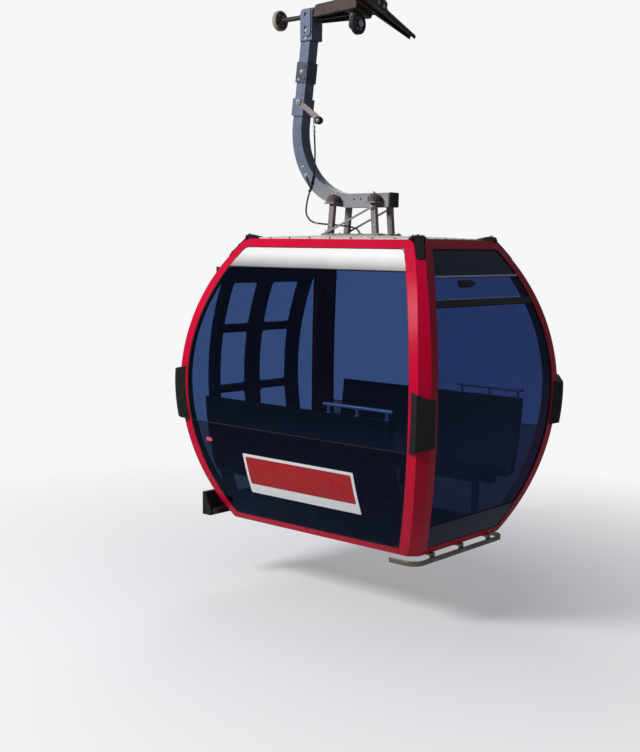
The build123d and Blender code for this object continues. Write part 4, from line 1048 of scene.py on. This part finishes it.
arm_top, arm_bolt_x, arm_bolt_spots = 0.052, 0.045, (0.135, 0.170)
tongue_radius, tongue_bolt_x, tongue_bolt_turn = 0.0505, 0.140, radians(40)
pin_face, pin_circle = 0.6825, 0.0370
grip_spots = [(tilted(x, y, arm_top), tilted(0, 0, 1), 0.010)
              for x in (-arm_bolt_x, arm_bolt_x) for y in arm_bolt_spots]
for side in (1, -1):
    for angle in (tongue_bolt_turn, -tongue_bolt_turn):
        spot = (side * tongue_bolt_x, tongue_radius * sin(angle), tongue_radius * cos(angle))
        out = (side * 0.1, sin(angle), cos(angle))
        grip_spots.append((tilted(*spot), tilted(*out), 0.007))
for i in range(6):
    angle = pi * i / 3
    grip_spots.append(((pin_circle * cos(angle), pin_face, pin_circle * sin(angle)),
                       side_way, 0.0045))
nut_radius, roller_nut, axle_nut = 0.017, (0, 0.072, -0.128), (0, 0.963, 0)
grip_spots += [(tilted(*roller_nut), -side_way, nut_radius), (axle_nut, side_way, nut_radius)]
fasten("grip_bolts", grip_spots, zinc, body="grip")

jaw_face, jaw_bolt_rise, jaw_bolts = -0.062, 0.024, (-0.065, 0, 0.065)
pivot_end, lever_end = (0.128, 0.070, 0.104), (0, 0.473, 0.205)
jaw_spots = [(tilted(x, jaw_face, jaw_bolt_rise), -side_way, 0.010) for x in jaw_bolts]
jaw_spots += [(tilted(side * pivot_end[0], *pivot_end[1:]), side * tilted(1, 0, 0), nut_radius)
              for side in (1, -1)]
jaw_spots.append((tilted(*lever_end), side_way, 0.014))
fasten("jaw_bolts", jaw_spots, zinc, body="jaw")


# Rollers
# The running and coupling rollers have rubber tyres, the guide roller a worn polyamide tread.
# Each turns on bearings behind a steel disc that is screwed into its hub.

# Polyamide: matt beige-grey, darker where grease has worked into it, with a worn face.
tread = finish("worn_polyamide_tread", ("#6f685d", "#a39b8f"), (40, 6),
               relief=("TexNoise", 300, 3, 0.0005), Roughness=0.7)
wear(tread, "guide_roller")
wear(rubber, "coupling_roller", "running_roller", "lever_cable", "cable_gland")

roller_rows = (             # body, middle across, height, half width, disc radii, bolts, radius
    ("running_roller", 0.100, -0.128, 0.020, (0.026, 0.061), 6, 0.0050),
    ("guide_roller", 0.935, 0.0, 0.020, (0.026, 0.061), 6, 0.0050),
    ("coupling_roller", 0.447, 0.205, 0.018, (0.0225, 0.0295), 3, 0.0025),
)
disc_thickness = 0.004
for body, across, rise, half, (inner, outer), count, radius in roller_rows:
    middle = tilted(0, across, rise)
    shape = bmesh.new()
    spots = []
    for side in (1, -1):
        floor_y = side * half / 2
        place = seat_on(middle + floor_y * side_way, side * side_way, end_way)
        turned(shape, place,
               ((inner, 0.0), (inner, disc_thickness), (outer - 0.002, disc_thickness),
                (outer, 0.002), (outer, 0.0)), ring_sides, looped=True)
        for i in range(count):
            a = 2 * pi * i / count
            r = (inner + outer) / 2
            spot = place @ Vector((r * cos(a), r * sin(a), disc_thickness))
            spots.append((spot, side * side_way, radius))
    # The discs are phosphated dark; on the running roller that dark tone is also painted shade.
    make(f"{body}_discs", shape, phosphated, body=body)
    fasten(f"{body}_bolts", spots, zinc, body=body)


# Benches and rails
# Seats of grained plastic, dished and ribbed against slipping, on black anodised frames, with
# backs on the end walls and polished tubes on posts above the backs.
bench_half, seat_top, seat_front, seat_rear = 0.900, 0.450, 0.360, 0.6891
seat_dish, seat_count, seat_spacing = 0.014, 4, 0.430
back_top, back_inset = 0.985, 0.0443
# Polished stainless tube: bright, with hand marks that dull it in patches.
chrome = finish("polished_stainless_tube", "#f2f2f2", (18, 5), dull=(0, 1, 0.34, 0.42),
                Metallic=0.6)
wear(chrome, "grab_rails")

# Seat plastic: charcoal, moulded with a leather grain of about 4 mm.
seat_shell = finish("grained_seat_plastic", ("#131417", "#1f2024"), (6, 4),
                    relief=("TexVoronoi", 260, 0, 0.0005), Roughness=0.5, Specular_IOR_Level=0.3)
wear(seat_shell, "bench_backs", "seats")

shape = bmesh.new()
rib_start, rib_end = seat_front + 0.015, seat_rear - 0.02
rib_offsets = (-0.12, -0.06, 0, 0.06, 0.12)
half_span = (seat_rear - seat_front) / 2
back = reach("end", back_top, back_inset)
for side in (1, -1):
    for seat in range(seat_count):
        middle = (seat - (seat_count - 1) / 2) * seat_spacing
        for offset in rib_offsets:
            stops = []
            for i in range(13):
                x = rib_start + i * (rib_end - rib_start) / 12
                dip = seat_dish * (1 - ((x - seat_front - half_span) / half_span) ** 2)
                stops.append(((side * x, middle + offset, base + seat_top - dip), up_way))
            sweep(shape, stops, mirrored((0.006, -0.001), (0.004, 0.0018)))
    for y in (-bench_half + 0.002, bench_half - 0.002):
        stops = [((side * (back + step), y, base + back_top), up_way) for step in (-0.010, 0.010)]
        sweep(shape, stops, mirrored((0.003, -0.02), (0.003, 0.003)))
    stops = [((side * back, y, base + back_top), up_way)
             for y in (-bench_half, -0.3, 0.3, bench_half)]
    sweep(shape, stops, mirrored((0.013, -0.008), (0.013, 0.001), (0.007, 0.006)))
make("seat_ribs_and_back_rims", shape, seat_shell)

rail_low, rail_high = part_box("grab_rails")
rail_radius, post_spots = 0.013, (-0.860, -0.600, -0.340)
rail_x, rail_z = rail_high.x - rail_radius, rail_high.z - rail_radius
dome = ((rail_radius, 0.0), (0.0135, 0.002), (0.012, 0.006), (0.007, 0.010), (0.0, 0.011))
flange = ((0.020, 0.0), (0.020, 0.003), (0.0145, 0.006), (0.0105, 0.006))
shape = bmesh.new()
for side in (1, -1):
    for y, way in ((rail_low.y, -1), (rail_high.y, 1)):
        turned(shape, along((side * rail_x, y, rail_z), way * side_way), dome)
    for y in post_spots:
        turned(shape, Matrix.Translation((side * rail_x, y, base + back_top + 0.006)), flange)
make("rail_domes_and_flanges", shape, chrome)

# A drawn profile edges the bench below its back, and catches the light through the lower pane.
trim_height, trim_half, trim_inset = 0.392, 0.870, 0.052
trim_x = reach("end", trim_height) - trim_inset
shape = bmesh.new()
for side in (1, -1):
    stops = [((side * trim_x, y, base + trim_height), side * end_way)
             for y in (-trim_half, -0.3, 0.3, trim_half)]
    sweep(shape, stops, mirrored((0.010, -0.004), (0.010, 0), (0.007, 0.002)))
make("bench_trims", shape, aluminium)


# Floor
# A rubber mat with raised ribs on a sandwich board, and a ribbed aluminium threshold plate
# screwed down in the doorway. One tree lays the ribs of both.
floor_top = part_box("floor")[1].z
mat_half, mat_rib_pitch = (0.520, 0.760), 0.020
plate_half, plate_low, plate_high = 0.420, 0.790, 0.888
plate_thickness, plate_rib_pitch = 0.003, 0.014
plate_screw_side, plate_screw_edge = 0.012, 0.007
# Floor rubber: black, trodden grey-brown by dust, with grit of about 2 mm on it.
floor_mat = finish("ribbed_rubber_mat", ("#1a1b1c", "#3a3731"), (5, 8),
                   relief=("TexNoise", 400, 2, 0.0004), Roughness=0.8)
wear(floor_mat, "floor")

ribs, given = new_tree("floor_ribs", Count=("Int",), Start=("Vector",), Pitch=("Vector",),
                       Rib=("Vector",))
row = add(ribs, "GeometryNodeMeshLine", {"Count": given["Count"], "Start Location": given["Start"],
                                         "Offset": given["Pitch"]})
bar = add(ribs, "GeometryNodeMeshCube", {"Size": given["Rib"]})
placed = add(ribs, "GeometryNodeInstanceOnPoints", {"Points": row, "Instance": bar})
end_tree(ribs, given, add(ribs, "GeometryNodeJoinGeometry",
                          {"Geometry": [placed, given["Geometry"]]}))

nothing = bpy.data.meshes.new("no_base")
grown("mat_ribs", nothing, ribs, slot="floor_mat", Material=floor_mat,
      Count=round(2 * mat_half[1] / mat_rib_pitch) + 1, Start=(0, -mat_half[1], floor_top + 0.0005),
      Pitch=(0, mat_rib_pitch, 0), Rib=(2 * mat_half[0], 0.005, 0.003))

shape = bmesh.new()
plate_middle = (0, (plate_low + plate_high) / 2, floor_top + plate_thickness / 2)
block(shape, (2 * plate_half, plate_high - plate_low, plate_thickness),
      Matrix.Translation(plate_middle), 0.001, 1)
plate_mesh = bpy.data.meshes.new("threshold_plate_base")
shape.to_mesh(plate_mesh)
shape.free()
grown("threshold_plate", plate_mesh, ribs, slot="aluminium", Material=aluminium,
      Count=6, Start=(0, plate_low + plate_rib_pitch, floor_top + plate_thickness),
      Pitch=(0, plate_rib_pitch, 0), Rib=(2 * plate_half - 0.03, 0.006, 0.002))
spots = [((x * (plate_half - plate_screw_side), y, floor_top + plate_thickness), up_way, 0.0035)
         for x in (-1, -0.35, 0.35, 1)
         for y in (plate_low + plate_screw_edge, plate_high - plate_screw_edge)]
fasten("threshold_screws", spots, zinc, Sides=16, Top=0.7, Head_Height=0.4, Washer=1.2)


# Guide rail
# A flat aluminium bar below the doorless side, bent in round both corners: it runs along the
# station's guides. Angle brackets bolt it to the floor's edge.
rail_low, rail_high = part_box("guide_rail")
bracket_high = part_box("guide_brackets")[1]
bracket_spacing, bolt_shift, bolt_back, bolt_drop = 0.360, 0.014, 0.022, 0.017
spots = []
for x in (-bracket_spacing, 0, bracket_spacing):
    for shift in (-bolt_shift, bolt_shift):
        spots.append(((x + shift, rail_low.y, (rail_low.z + rail_high.z) / 2), -side_way, 0.006))
        spots.append(((x + shift, bracket_high.y - bolt_back, bracket_high.z - bolt_drop),
                      -up_way, 0.007))
fasten("guide_rail_bolts", spots, zinc)
